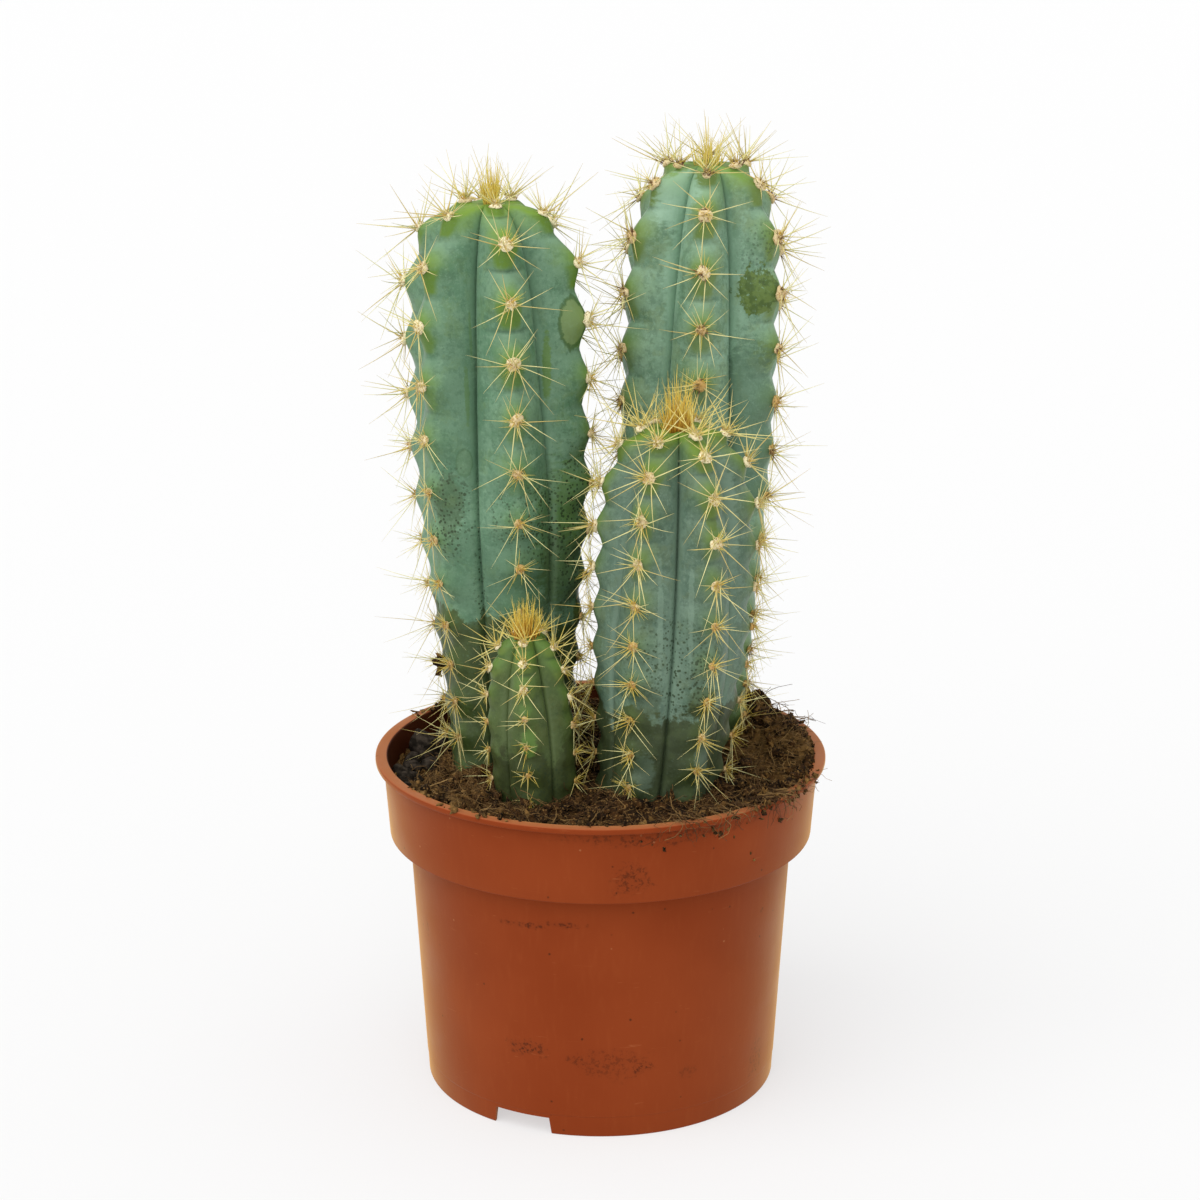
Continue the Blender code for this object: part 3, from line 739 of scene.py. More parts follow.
def make_pot():
    profile = pot_profile()
    angles = np.arange(POT_SEGMENTS) * 360 / POT_SEGMENTS
    points = from_front(angles[None, :], profile[:, :1], profile[:, 1:]).reshape(-1, 3)
    faces = grid_faces(len(profile) + 1, POT_SEGMENTS) % len(points)
    pot = add_mesh("pot_moulding", points, [faces], pot_finish(), "pot", "pot_plastic")
    crowd = bpy.data.collections.new("cutters")
    bpy.context.scene.collection.children.link(crowd)
    for rings, number in ((notch_rings, NOTCH_COUNT), (drain_rings, DRAIN_COUNT)):
        for i in range(number):
            add_cutter(rings(FIRST_NOTCH + 360 * i / number), crowd)
    boolean = pot.modifiers.new("cuts", "BOOLEAN")
    boolean.operation = "DIFFERENCE"
    boolean.operand_type = "COLLECTION"
    boolean.collection = crowd
    boolean.solver = "EXACT"
    graph = bpy.context.evaluated_depsgraph_get()
    mesh = bpy.data.meshes.new_from_object(pot.evaluated_get(graph))
    pot.modifiers.clear()
    pot.data = mesh
    mesh.shade_smooth()
    mesh.set_sharp_from_angle(angle=math.radians(SHARP))
    for one in list(crowd.objects):
        bpy.data.objects.remove(one)
    bpy.data.collections.remove(crowd)


# ---- soil ----


def soil_base(x, y):
    """The level of the soil without its crumbs."""
    left_back = smooth((0.75 * y - 0.65 * x) / 45)
    right = smooth((0.7 * x + 0.71 * y - 21) / 24) * smooth((58.5 - np.hypot(x, y)) / 6)
    along, over, oblique = LUMP_LENGTHS
    waves = np.sin(x / along) * np.cos(y / over) + 0.6 * np.sin((x + y) / oblique)
    return SOIL_LEVEL - SOIL_DIP * left_back + SOIL_HEAP * right + SOIL_LUMPS * waves


def soil_surface(x, y):
    flat = np.stack(np.broadcast_arrays(x, y, 0.0), axis=-1)
    rough = 1.25 * fractal(flat, 6.0, 4, 3) + 0.7 * noise(flat, 1.9, 9) + 0.35 * noise(flat, 0.9, 15)
    return soil_base(x, y) + rough


def towards_heap(x, y):
    return HEAP_SIDE[0] * x + HEAP_SIDE[1] * y - HEAP_START


def loose_peat_and_painted_light(x, y):
    """How much lighter the soil's colour is made: most on the heap at the back right, some at the left. It
    stands for looser, paler peat, and on the heap also for painted light where the lamps from the left leave
    it in shade.
    """
    return np.maximum(smooth(towards_heap(x, y) / 15), 0.75 * smooth((-x - 22) / 14))


def make_soil(peat):
    radius = SOIL_EDGE * np.sqrt(np.linspace(0, 1, SOIL_RINGS + 1)[1:])
    angles = np.arange(SOIL_SECTORS) * 360 / SOIL_SECTORS
    top = from_front(angles[None, :], radius[:, None], 0.0)
    top[..., 2] = soil_surface(top[..., 0], top[..., 1])
    beside, under = SOIL_GAP
    underside = COLLAR_FOOT + WALL + under
    skirt = from_front(angles, COLLAR_FOOT_RADIUS - WALL - beside, underside)
    points = np.vstack([top.reshape(-1, 3), skirt, [(0, 0, soil_surface(0.0, 0.0)), (0, 0, underside)]])
    faces = [some[:, ::-1] for some in capped(SOIL_RINGS + 1, SOIL_SECTORS)]
    # Lighter on the heap and at the left: paler peat, and on the heap painted light.
    light = 0.35 * loose_peat_and_painted_light(*points[:, :2].T) * (1 + noise(points, 3.0, 12))
    add_mesh("peat_bed", points, faces, peat, "soil", "peat", light=light)


def scatter(random, count, edge):
    """Random places over the soil, outside the stems."""
    places = np.empty((0, 2))
    while len(places) < count:
        radius = edge * np.sqrt(random.uniform(0, 1, count * 2))
        some = on_plan(random.uniform(0, 360, count * 2), radius)
        clear = np.ones(len(some), bool)
        for stem in STEMS:
            clear &= np.hypot(*(some - stem.foot).T) > stem.foot_radius * ROUND_STEMS
        places = np.vstack([places, some[clear]])
    return places[:count]


CRUMBS = ((2300, 0.3, 0.8), (110, 0.9, 0.9))  # their number, least half-width and what the largest have more
HEAPED_CLODS = 90
SHREDDED = 0.5  # the share of small crumbs that are long shreds
SHRED_FORM = (2.4, 0.6, 0.5)
# Crumbs on the lip and by it: their number, the largest, and the ranges of angle, radius and height.
SPILLED = (
    (90, 0.95, (40, 74), (56.0, 60.2), (90.6, 91.1)),
    (90, 0.95, (102, 150), (55.0, 58.8), (90.6, 91.2)),
    (22, 0.8, (40, 70), (60.0, 60.2), (88.5, 91.0)),
    (10, 0.7, (18, 45), (60.0, 60.2), (86.5, 90.5)),
    (26, 0.95, (-142, -118), (57.0, 60.0), (90.6, 91.0)),
    (40, 1.9, (-137, -124), (54.5, 58.0), (89.2, 91.6)),
    (14, 0.95, (-46, -20), (57.5, 59.8), (90.6, 90.9)),
    (60, 0.9, (-60, 60), (56.0, 57.6), (90.0, 90.6)),
    (170, 1.3, (60, 112), (54.2, 56.6), (89.4, 91.2)),
)
# The bits caught on the collar's outside: angle, height and half-width.
CAUGHT_ON_COLLAR = (
    (29.3, 87.0, 0.8), (31.4, 84.8, 0.9), (30.2, 86.0, 0.7), (53.3, 83.3, 0.7), (39.9, 86.2, 0.5),
    (36.0, 83.3, 0.3), (12.9, 84.9, 0.5), (15.9, 83.5, 0.6), (10.3, 86.1, 0.4), (42.2, 77.4, 0.3),
    (43.7, 75.1, 0.3),
)
# The clods stuck to the left stem: their places and half-widths.
STUCK_CLODS = (
    (-43.0, 5.5, 110.5, 1.0), (-43.3, 6.5, 112.5, 1.3), (-42.9, 6.0, 114.5, 0.8), (-43.1, 8.0, 111.5, 1.0),
    (-42.6, 7.0, 108.5, 0.9),
)
# The bark by the wall at the back left: angle, radius and half-width.
BARK = (
    (-122, 50.0, 4.2), (-131, 51.5, 3.4), (-142, 52.0, 3.0), (-110, 50.6, 4.4), (-101, 51.8, 3.2),
    (-95, 50.6, 3.0), (-97, 46.0, 2.2), (-88, 53.2, 2.7), (-83, 50.5, 2.2), (-78, 53.2, 2.6),
    (-71, 53.6, 1.7),
)


def make_crumbs(peat):
    """Crumbs and clods over the soil, some of them spilled on the lip, and a few stuck to the left stem."""
    random = np.random.default_rng(5)
    half, centres = [], []

    def drop(size, places, level, sunk=0.35):
        half.append(size)
        centres.append(np.column_stack([places, level + size * sunk]))

    for count, least, spread in CRUMBS:
        places = scatter(random, count, SOIL_EDGE - 1.0)
        drop(least + spread * random.uniform(0, 1, count) ** 3, places, soil_surface(*places.T))
    for count, most, angles, radii, heights in SPILLED:
        places = on_plan(random.uniform(*angles, count), random.uniform(*radii, count))
        size = 0.25 + (most - 0.25) * random.uniform(0, 1, count) ** 2
        drop(size, places, random.uniform(*heights, count), 0.2)
    angle, level, size = np.array(CAUGHT_ON_COLLAR).T
    radius = np.interp(level, (COLLAR_FOOT, POT_HEIGHT), (COLLAR_FOOT_RADIUS, COLLAR_TOP_RADIUS))
    drop(size, on_plan(angle, radius), level, 0.0)
    count = HEAPED_CLODS
    places = on_plan(random.uniform(94, 150, count), random.uniform(44, 55, count))
    size = random.uniform(0.9, 2.3, count)
    drop(size, places, soil_surface(*places.T) + random.uniform(-0.8, 1.0, count))
    stuck = np.array(STUCK_CLODS)
    drop(stuck[:, 3], stuck[:, :2], stuck[:, 2])
    half, centres = np.concatenate(half), np.vstack(centres)
    count = len(half)
    sizes = half[:, None] * random.uniform(0.3, 1.7, (count, 3))
    on_soil = np.hypot(*centres[:, :2].T) < COLLAR_FOOT_RADIUS - 3
    sizes[(random.uniform(0, 1, count) < SHREDDED) & (half < 1.2) & on_soil] *= SHRED_FORM
    centres = np.clip(centres, CAD_LOW + 2.2, CAD_HIGH - 2.2)
    mesh, faces = lumps(centres, sizes, random_turns(random, count), 1.1, 21, rings=3, sides=6)
    # Small crumbs are lighter at random, and more so on the heap and at the left: paler peat, and on the heap
    # painted light.
    light = 0.9 * (half < 1.0) * random.uniform(0, 1, count) ** blend(4.4, 1.8, loose_peat_and_painted_light(*centres[:, :2].T))
    add_mesh("peat_crumbs", mesh, faces, peat, slot="peat", light=light)


def make_bark():
    """Dark pieces of bark by the wall at the back left."""
    random = np.random.default_rng(31)
    angles, radii, half = np.array(BARK).T
    flat = on_plan(angles, radii)
    centres = np.column_stack([flat, soil_surface(*flat.T) + half * 0.6])
    sizes = half[:, None] * random.uniform(0.6, 1.25, (len(half), 3))
    mesh = lumps(centres, sizes, random_turns(random, len(half)), 0.4, 27, rings=12, sides=18)
    add_mesh("bark_chips", *mesh, bark_finish(), slot="peat")


# Fibres: their number, the ranges of their length and of how they rise, and whether only the heap has them.
FIBRES = ((2500, (2, 8), (-0.1, 0.5), False), (950, (4, 12), (-0.1, 0.45), True))
# Fibres hanging over the lip: their number and the ranges of their angle and of how far they hang.
HANGING = ((70, (14, 62), (1.5, 7)), (20, (105, 150), (-1.5, 2)))
FIBRE_WIDTHS = (0.12, 0.33)
CURL = 0.26


def tubes(paths, widths):
    """Thin three-sided tubes along paths of points, narrower at the far end and closed at both."""
    count, steps = paths.shape[:2]
    ring = rings_round(unit(np.gradient(paths, axis=1)), 3)
    taper = np.linspace(1, 0.5, steps)[None, :, None, None] * widths[:, None, None, None] / 2
    points = (paths[:, :, None] + ring * taper).reshape(-1, 3)
    each = steps * 3
    caps = np.array([[2, 1, 0], [each - 3, each - 2, each - 1]])
    return points, copies((grid_faces(steps, 3), caps), count, each)


def curling(random, starts, headings, lengths):
    """Paths that set out along their headings and wander."""
    points = [starts]
    directions = unit(headings)
    for _ in range(FIBRE_STEPS):
        directions = unit(directions + CURL * random.normal(size=starts.shape) * [1, 1, 0.6])
        points.append(points[-1] + directions * (lengths / FIBRE_STEPS)[:, None])
    return np.stack(points, axis=1)


def hanging(random, count, angles, drops):
    """Paths that cross the lip from inside and hang down outside it."""
    share = np.linspace(0, 1, FIBRE_STEPS + 1)
    angle = random.uniform(*angles, count)[:, None] + random.normal(0, 4.0, count)[:, None] * share
    angle = angle + 1.2 * np.cumsum(random.normal(size=(count, FIBRE_STEPS + 1)), axis=1)
    over = smooth(share / 0.45)
    inner, outer = random.uniform(54, 58.5, count)[:, None], random.uniform(60.4, 61.6, count)[:, None]
    radius = blend(inner, outer, over)
    fall = smooth((share - 0.35) / 0.65) * random.uniform(*drops, count)[:, None]
    return from_front(angle, radius, 91.0 + random.uniform(0, 1.2, count)[:, None] - fall)


def make_fibres():
    """Fibres all over the soil, thicker on the heap, and some hanging over the lip at the front right."""
    random = np.random.default_rng(8)
    paths = []
    for count, reach, rise, heap in FIBRES:
        places = scatter(random, count, SOIL_EDGE - 0.5)
        inner = np.hypot(*places.T) < SOIL_EDGE - 1.5
        places = places[towards_heap(*places.T) > 0 if heap else inner]
        count = len(places)
        starts = np.column_stack([places, soil_surface(*places.T) + random.uniform(0.0, 1.0, count)])
        angle = random.uniform(0, math.tau, count)
        headings = np.column_stack([np.cos(angle), np.sin(angle), random.uniform(*rise, count)])
        some = curling(random, starts, headings, random.uniform(*reach, count))
        outside = (np.hypot(some[..., 0], some[..., 1]) > COLLAR_TOP_RADIUS - WALL - 0.3).any(axis=1)
        paths.append(some[heap | ~outside])
    paths += [hanging(random, *some) for some in HANGING]
    inset = BOX_INSET + 0.2
    paths = np.clip(np.concatenate(paths), CAD_LOW + inset, CAD_HIGH - inset)
    count = len(paths)
    mesh, faces = tubes(paths, random.uniform(*FIBRE_WIDTHS, count))
    # Fibres are lighter on the heap and at the left: paler peat, and on the heap painted light.
    light = random.uniform(0, 1, count) ** blend(2.3, 1.0, loose_peat_and_painted_light(*paths[:, 0, :2].T))
    add_mesh("peat_fibres", mesh, faces, fibre_finish(), slot="peat", light=light)


# ---- stems ----


def crest_radius(stem, heights):
    grown = smooth((heights - SOIL_LEVEL) / (stem.full_height - SOIL_LEVEL))
    radius = blend(stem.foot_radius, stem.full_radius, grown)
    share = np.clip((heights - stem.shoulder) / (stem.top - stem.shoulder), 0, 1)
    return radius * (1 - share**DOME_POWER) ** DOME_ROOT


def meridian(stem):
    """Heights and radii up a rib's crest at even steps, and how far each is along it from the foot."""
    below = np.linspace(SOIL_LEVEL - ROOTING, stem.shoulder, 600)[:-1]
    dome = stem.shoulder + (stem.top - stem.shoulder) * np.sin(np.linspace(0, math.pi / 2, 1500))
    heights = np.concatenate([below, dome])
    radii = crest_radius(stem, heights)
    radii[-1] = 0
    run = np.concatenate([[0], np.cumsum(np.hypot(np.diff(heights), np.diff(radii)))])
    even = np.linspace(0, run[-1], int(run[-1] / ROW_STEP) + 1)
    return np.interp(even, run, heights), np.interp(even, run, radii), even


def areole_runs(stem, run, heights):
    """How far along the crest each row of areoles is, from the crown down to the soil."""
    rows = []
    place = run[-1] - stem.crown_gap
    near, far = CROWDED_WITHIN
    while place > 0:
        height = np.interp(place, run, heights)
        if height < SOIL_LEVEL - 2:
            break
        rows.append(place)
        share = np.clip((height - SOIL_LEVEL) / (stem.shoulder - SOIL_LEVEL), 0, 1)
        crowded = blend(stem.crowding, 1, smooth((run[-1] - place - near) / (far - near)))
        place -= blend(stem.row_foot, stem.row_head, share**stem.row_power) * crowded
    return np.array(rows)


def youth(stem, heights, start, span):
    """From 0 on the old skin low down to 1 on the young skin, over this span of the stem's height."""
    return smooth(((heights - SOIL_LEVEL) / (stem.top - SOIL_LEVEL) - start) / span)


class Surface:
    """A stem's skin as a function of the rib, the place across the rib and the run along its crest."""

    def __init__(self, stem):
        self.stem = stem
        self.heights, self.radii, self.run = meridian(stem)
        self.rows = areole_runs(stem, self.run, self.heights)
        above = self.rows[0] + np.array([2, 1]) * (self.rows[0] - self.rows[1])
        below = self.rows[-1] - np.arange(1, 8) * stem.row_foot
        self.knots = np.concatenate([above, self.rows, below])[::-1]
        self.numbers = np.arange(len(self.knots))[::-1] - 2.0
        self.half_turn = 180 / stem.ribs

    def spacing(self, run):
        """The distance between two rows at this run."""
        return np.interp(run, self.knots[1:], np.diff(self.knots))

    def centre(self, heights):
        share = np.clip((heights - SOIL_LEVEL) / (self.stem.top - SOIL_LEVEL), 0, 1)
        share = 1 - (1 - share) ** self.stem.bow
        return blend(np.array(self.stem.foot), np.array(self.stem.head), share[..., None])

    def from_areole(self, rib, run):
        """How far below the nearest areole of this rib, negative above it."""
        row = np.interp(run, self.knots, self.numbers)
        parity = np.array(self.stem.parity)[np.asarray(rib, int) % self.stem.ribs]
        return ((row + parity + 1) % 2 - 1) * self.spacing(run)

    def shape(self, rib, place, run):
        """(height, radius) for a place across the rib, from -1 to 1, and a run along its crest."""
        stem = self.stem
        heights = np.interp(run, self.run, self.heights)
        radii = np.interp(run, self.run, self.radii)
        aside = np.abs(place)
        span = FURROW_SHARE * (stem.top - SOIL_LEVEL)
        up = smooth((heights - stem.top + span) / span)
        depth = blend(FURROW_FOOT, stem.furrow_head, up)
        part = blend(*FLANK_PART, up)
        cut = np.clip((aside - CUT_START) / (1 - CUT_START), 0, 1) ** CUT_POWER
        share = 1 - (1 - depth) * (part * aside**FLANK_POWER + (1 - part) * cut)
        below = self.from_areole(rib, run)
        spacing = self.spacing(run)
        middle = 1 - smooth((aside - 0.15) / 0.7)
        swell = blend(*SWELL, up) * (stem.full_radius / WIDEST) ** 1.5
        swell = swell * np.cos(math.pi * below / spacing) * middle
        crease = bell(spacing - np.abs(below) + 0.5 * aside, CREASE_WIDTH)
        crease = crease * (1 - smooth((aside - 0.55) / 0.3))
        relief = swell - CREASE_DEPTH * blend(0.15, 1.0, up) * crease
        return heights, radii * share + smooth(radii / 8) * relief

    def points(self, rib, place, run):
        stem = self.stem
        heights, radii = self.shape(rib, place, run)
        ribs = np.asarray(rib, int)
        turns = np.array(stem.turns)
        own, beside = turns[ribs % stem.ribs], turns[(ribs + np.where(place > 0, 1, -1)) % stem.ribs]
        grown = smooth((heights - SOIL_LEVEL) / (stem.top - SOIL_LEVEL) * 1.8 - 0.7)
        angle = stem.first_rib + (2 * rib + place) * self.half_turn
        angle = angle + grown * blend(own, beside, np.abs(place) / 2)
        made = from_front(angle, radii, heights)
        made[..., :2] += self.centre(heights)
        made[..., 2] -= stem.dent * bell(np.interp(run, self.run, self.radii), 0.3 * stem.full_radius)
        return made

    def normals(self, rib, place, run):
        along = self.points(rib, place, run + 0.6) - self.points(rib, place, run - 0.6)
        over = self.points(rib, place + 0.02, run) - self.points(rib, place - 0.02, run)
        return unit(np.cross(over, along))


def skin_marks(stem, surface, rib, place, run, points):
    """What drives the skin's colours at each point."""
    heights = points[..., 2]
    aside = np.abs(place)
    off = aside * math.radians(surface.half_turn) * np.interp(run, surface.run, surface.radii)
    below = surface.from_areole(rib, run)
    spacing = surface.spacing(run)
    drop = np.clip(below / spacing, 0, 1)
    young = youth(stem, heights, 0.4, 0.5)
    crown = smooth((run - surface.run[-1] + 17) / 14)
    wobble = 1 + 0.25 * noise(points, 3.5, stem.seed)
    wedge = smooth((below + 0.8) / 1.6) * smooth((spacing - below) / 1.4)
    wedge = wedge * smooth((blend(4.4, 3.2, drop) * wobble - off) / 1.8)
    worn = smooth((stem.bare_below + 14 - heights + 4 * noise(points, 9.0, stem.seed + 5)) / 28)
    far = np.hypot(off, below)
    halo = (bell(far, 3.3 * wobble) + 0.3 * bell(far, 6.5 * wobble)) * stem.halo * (1 - worn)
    olive = np.maximum(wedge * blend(0.12, 1.0, young), halo * blend(0.75, 1.0, young))
    above = bell(np.minimum(below + 1.5, 0), 2.6) * bell(off, 2.8 * wobble) * smooth(0.5 - below)
    leafy = smooth((run - surface.run[-1] + 24) / 20) * (1 + 0.7 * noise(points, 5.0, stem.seed + 7))
    fresh = above * blend(0.1, 0.9, young) + crown * bell(off, 3.8 * wobble) + stem.leafy * leafy
    pale = smooth(-below / spacing * 1.25 - 0.1) * smooth((spacing + below - 0.2) / 0.6) * bell(off, 4.2)
    crest = 0.5 * bell(off, 0.9) * (1 - young) * smooth((heights - stem.bare_below) / 20)
    # Lighter towards the furrows, most near their bottoms: painted light that offsets the shade in the
    # furrows.
    painted_furrow_light = 0.16 * smooth((aside - 0.5) / 0.3) + 0.75 * smooth((aside - 0.82) / 0.12)
    pale = 0.75 * pale * young**1.5 + crest + painted_furrow_light * (1 - smooth((aside - 0.975) / 0.02))
    # Darker in the creases between areoles and along the furrows' bottoms: painted shade.
    crease = bell(spacing - np.abs(below) + 0.5 * aside, 0.4) * (1 - smooth((aside - 0.5) / 0.3))
    line = smooth((aside - 0.981) / 0.019)
    painted_shade = 0.5 * crease * young**1.5 + line * blend(0.45, 0.75, young)
    low = smooth((stem.bare_below + 45 - heights) / 40)
    worn = worn + 0.3 * bell(off, 4.0) * bell(np.abs(below) - 1.0, 3.0) * low
    marks = dict(fresh=fresh, olive=olive, pale=pale, painted_shade=painted_shade, worn=worn)
    return {title: np.clip(value, 0, 1) for title, value in marks.items()}


def surface_spot(stem, surface, angle, height):
    turned = (angle - stem.first_rib) / (2 * surface.half_turn)
    rib = round(turned)
    run = np.interp(height, surface.heights, surface.run)
    return surface.points(np.array(rib), np.array(2 * (turned - rib)), np.array(run))


def make_skin(stem, surface):
    half = np.array(HALF_RIB)
    across_rib = np.concatenate([-half[:0:-1], half])[1:]
    run, rib = np.meshgrid(surface.run[:-1], np.repeat(np.arange(stem.ribs), len(across_rib)), indexing="ij")
    place = np.tile(across_rib, stem.ribs)[None, :]
    points = surface.points(rib, place, run)
    marks = skin_marks(stem, surface, rib, place, run, points)
    outward = points - np.concatenate([surface.centre(points[..., 2]), points[..., 2:]], axis=-1)
    points = points + unit(outward + 1e-9) * (RIPPLE * fractal(points, 11.0, 3, stem.seed))[..., None]
    faces = capped(*points.shape[:2])
    points = np.vstack([points.reshape(-1, 3), points[0].mean(axis=0), points[-1].mean(axis=0) - [0, 0, 0.2]])
    values = {title: [*value.ravel(), 0, 0] for title, value in marks.items()}
    finish = skin_finish(stem, surface)
    add_mesh(f"{stem.node}_skin", points, faces, finish, stem.node, stem.palette, **values)


def areoles(stem, surface):
    """Every areole above the soil: its run, its point, and the skin's up, right and normal there."""
    rib, run = np.array([
        (rib, run)
        for row, run in enumerate(surface.rows)
        for rib in range(stem.ribs)
        if (row + stem.parity[rib]) % 2 == 0
    ], float).T
    place = np.zeros(len(rib))
    points = surface.points(rib, place, run)
    normals = surface.normals(rib, place, run)
    up = unit(np.array([0.0, 0.0, 1.0]) - normals * normals[:, 2:] + 1e-6)
    keep = points[:, 2] > soil_base(points[:, 0], points[:, 1]) + 1.0
    return [some[keep] for some in (run, points, up, np.cross(up, normals), normals)]


def heading(up, right, normal, turn, flat, rise):
    """Directions at this turn from the skin's up, this far along the skin and this far out of it."""
    along = np.cos(turn)[:, None] * up + np.sin(turn)[:, None] * right
    return along * flat[:, None] + normal * rise[:, None]


def inside_box(roots, tips):
    """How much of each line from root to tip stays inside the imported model's box."""
    low, high = CAD_LOW + BOX_INSET, CAD_HIGH - BOX_INSET
    travel = tips - roots
    travel = np.where(np.abs(travel) < 1e-6, 1e-6, travel)
    room = np.where(travel > 0, (high - roots) / travel, (low - roots) / travel)
    return np.clip(room.min(axis=1), 0.05, 1.0)


def make_spines(stem, surface, finish):
    """Radial and central spines at each areole, fine bristles among them, and the crown's tuft."""
    random = np.random.default_rng(stem.seed)
    run, points, up, right, normals = areoles(stem, surface)
    crown = 1 - smooth((surface.run[-1] - run - 5) / 13)
    young = youth(stem, points[:, 2], 0.35, 0.5)
    scale = stem.spine_length
    made = []

    def sprout(i, turn, lift, length, width, gold):
        way = heading(up[i], right[i], normals[i], turn, np.cos(lift), np.sin(lift))
        way = unit(way + np.array([0, 0, 0.4]) * crown[i])
        spot = random.normal(0, 0.6, (len(turn), 2))
        root = points[i] + normals[i] * 0.4 + up[i] * spot[:, :1] + right[i] * spot[:, 1:]
        made.append((root, way, length, width, 0 * turn + gold))

    for i in range(len(points)):
        slim = blend(0.7, 1.0, young[i]) * (scale / 15) ** 0.5
        low = blend(stem.low_spines, 1, young[i])
        gold = stem.gilt * crown[i]
        count = round((random.integers(8, 11) + 2 * young[i] + 2 * crown[i]) * stem.dense)
        turn = np.linspace(0, math.tau, count, endpoint=False) + random.uniform(0, 1)
        turn = turn + random.normal(0, 0.18, count)
        side = blend(blend(0.32, 0.72, young[i]), 1.0, ((1 - np.cos(turn)) / 2) ** 0.7)
        length = scale * side * random.uniform(0.62, 1.08, count) * low
        lift = np.radians(random.uniform(4, 36, count))
        sprout(i, turn, lift, length, slim * random.uniform(0.25, 0.36, count), gold)
        for number, dense, lifts, reach, lengths, wide, widths, gilt in (
            ((1, 4), 1, (40, 78), scale * low, (0.6, 1.05), slim, (0.28, 0.38), gold),
            ((15, 21), stem.dense, (6, 60), scale, (0.14, 0.40), 1, (0.12, 0.19), 0.8),
        ):
            count = round(random.integers(*number) * dense)
            turn, lift = random.uniform(0, math.tau, count), np.radians(random.uniform(*lifts, count))
            length = reach * random.uniform(*lengths, count)
            sprout(i, turn, lift, length, wide * random.uniform(*widths, count), gilt)
    count = stem.tuft
    spread = stem.tuft_radius * np.sqrt(random.uniform(0, 1, count))
    ring = from_front(random.uniform(0, 360, count), spread, 0.0)
    apex = surface.points(np.array(0), np.array(0.0), surface.run[-2])
    lean = random.uniform(0, stem.tuft_lean, count)[:, None] * ring / stem.tuft_radius
    made.append((
        ring + apex - [0, 0, 0.5],
        lean + [0, 0, 1] + random.normal(0, 0.11, (count, 3)),
        stem.tuft_length * (1.05 - 0.5 * spread / stem.tuft_radius) * random.uniform(0.5, 1.05, count),
        random.uniform(0.20, 0.32, count),
        random.uniform(0.88, 1.0, count) * blend(0.5, 1.0, stem.gilt / 0.5),
    ))
    roots, ways, lengths, widths, golds = (np.concatenate(some) for some in zip(*made))
    ways = unit(ways)
    total = len(roots)
    bends = random.normal(0, 0.035, (total, 3)) + [0, 0, 0.02]
    lengths = lengths * inside_box(roots, roots + (ways + bends) * lengths[:, None] * 1.02)
    mesh, faces, share = needles(roots, ways, lengths, widths, bends, sides=4, steps=3, tip=0.15)
    tone = random.uniform(0, 1, total) ** 2
    root = [stem.root_brown]
    add_mesh(f"{stem.node}_spines", mesh, faces, finish, share=share, tone=tone, gold=golds, root=root)


def make_wool(stem, surface, finish):
    """Felted pads at the areoles, with short hairs."""
    random = np.random.default_rng(stem.seed + 100)
    _, points, up, right, normals = areoles(stem, surface)
    count = len(points)
    young = youth(stem, points[:, 2], 0.25, 0.6)
    size = blend(1.05, 1.75, young) * random.uniform(0.85, 1.1, count) * (stem.full_radius / WIDEST) ** 0.6
    sizes = np.column_stack([size, size * 1.05, size * 0.55])
    turns = np.stack([right, up, normals], axis=1)
    pads = lumps(points + normals * 0.15, sizes, turns, 0.45, stem.seed, rings=7, sides=12)
    tone = 0.74 - 0.90 * young + 0.60 * stem.root_brown + random.normal(0, 0.12, count)
    tone = np.clip(tone, 0, 1)
    which = np.repeat(np.arange(count), PAD_HAIRS)
    polar = np.radians(random.uniform(0, 95, len(which)))
    turn = random.uniform(0, math.tau, len(which))
    way = heading(up[which], right[which], normals[which], turn, np.sin(polar), np.cos(polar))
    roots = points[which] + normals[which] * 0.2 + way * (size[which] * 0.6)[:, None]
    lengths = size[which] * random.uniform(0.35, 0.75, len(which))
    bends = random.normal(0, 0.35, (len(which), 3))
    widths = np.full(len(which), 0.13)
    fuzz = needles(roots, way, lengths, widths, bends, sides=3, steps=2, tip=0.4)[:2]
    mesh, faces, tones = joined((*pads, tone), (*fuzz, tone[which]))
    add_mesh(f"{stem.node}_wool", mesh, faces, finish, tone=tones)


# ---- room ----


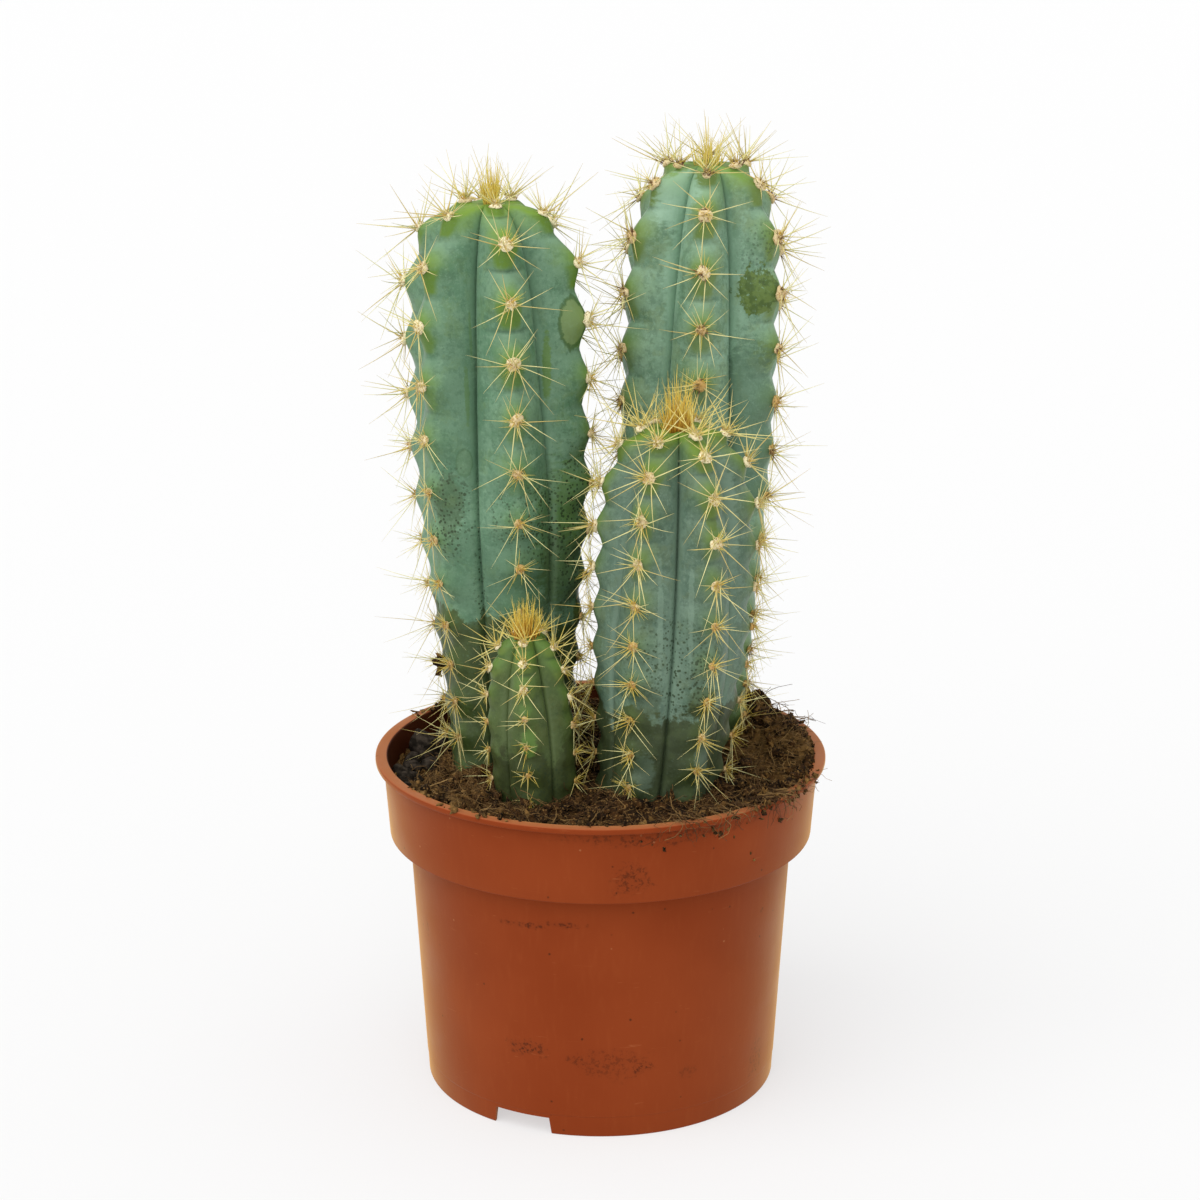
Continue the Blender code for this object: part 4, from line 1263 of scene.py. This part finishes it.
FLOOR = [(-9, -9, 0), (9, -9, 0), (9, 9, 0), (-9, 9, 0)]  # metres, as the camera's place is
FLOOR_GLOW = 0.58
WORLD_LIGHT = 0.79
SUNS = (("key", 1.75, 70, 42, -38), ("fill", 0.28, 90, 55, 70))  # name, strength, width, tilt and turn
CAMERA_PLACE = (0, -0.7723, 0.36325)
CAMERA_DOWN = 16.656  # how far it looks down
FOCAL_LENGTH = 91.85
SENSOR = 36
SHIFT = -0.5 / 1200  # half a pixel of the photograph


def make_room():
    scene = bpy.context.scene
    floor_mesh = bpy.data.meshes.new("floor")
    floor_mesh.from_pydata(FLOOR, [], [(0, 1, 2, 3)])
    paper = Finish("floor paper", 0.9, 0.1)
    paper.set("Principled BSDF", {"Emission Color": (1.0, 1.0, 1.0), "Emission Strength": FLOOR_GLOW})
    floor_mesh.materials.append(paper.finish((0.32, 0.32, 0.32)))
    stand("floor", floor_mesh)
    world = bpy.data.worlds.new("studio")
    world.use_nodes = True
    background = world.node_tree.nodes["Background"]
    background.inputs["Color"].default_value = (1.0, 1.0, 1.0, 1.0)
    background.inputs["Strength"].default_value = WORLD_LIGHT
    scene.world = world
    for name, strength, width, tilt, turn in SUNS:
        lamp = bpy.data.lights.new(name, "SUN")
        lamp.energy = strength
        lamp.angle = math.radians(width)
        stand(name, lamp).rotation_euler = (math.radians(tilt), 0, math.radians(turn))
    lens = bpy.data.cameras.new("camera")
    lens.lens = FOCAL_LENGTH
    lens.sensor_width = SENSOR
    lens.shift_x = SHIFT
    camera = stand("camera", lens)
    camera.location = CAMERA_PLACE
    camera.rotation_euler = (math.radians(90 - CAMERA_DOWN), 0, 0)
    scene.camera = camera
    scene.view_settings.view_transform = "Standard"


def main():
    peat = peat_finish()
    make_pot()
    make_soil(peat)
    make_crumbs(peat)
    make_bark()
    make_fibres()
    spines = spine_finish()
    wool = wool_finish()
    for stem in STEMS:
        surface = Surface(stem)
        make_skin(stem, surface)
        make_spines(stem, surface, spines)
        make_wool(stem, surface, wool)
    make_room()


main()
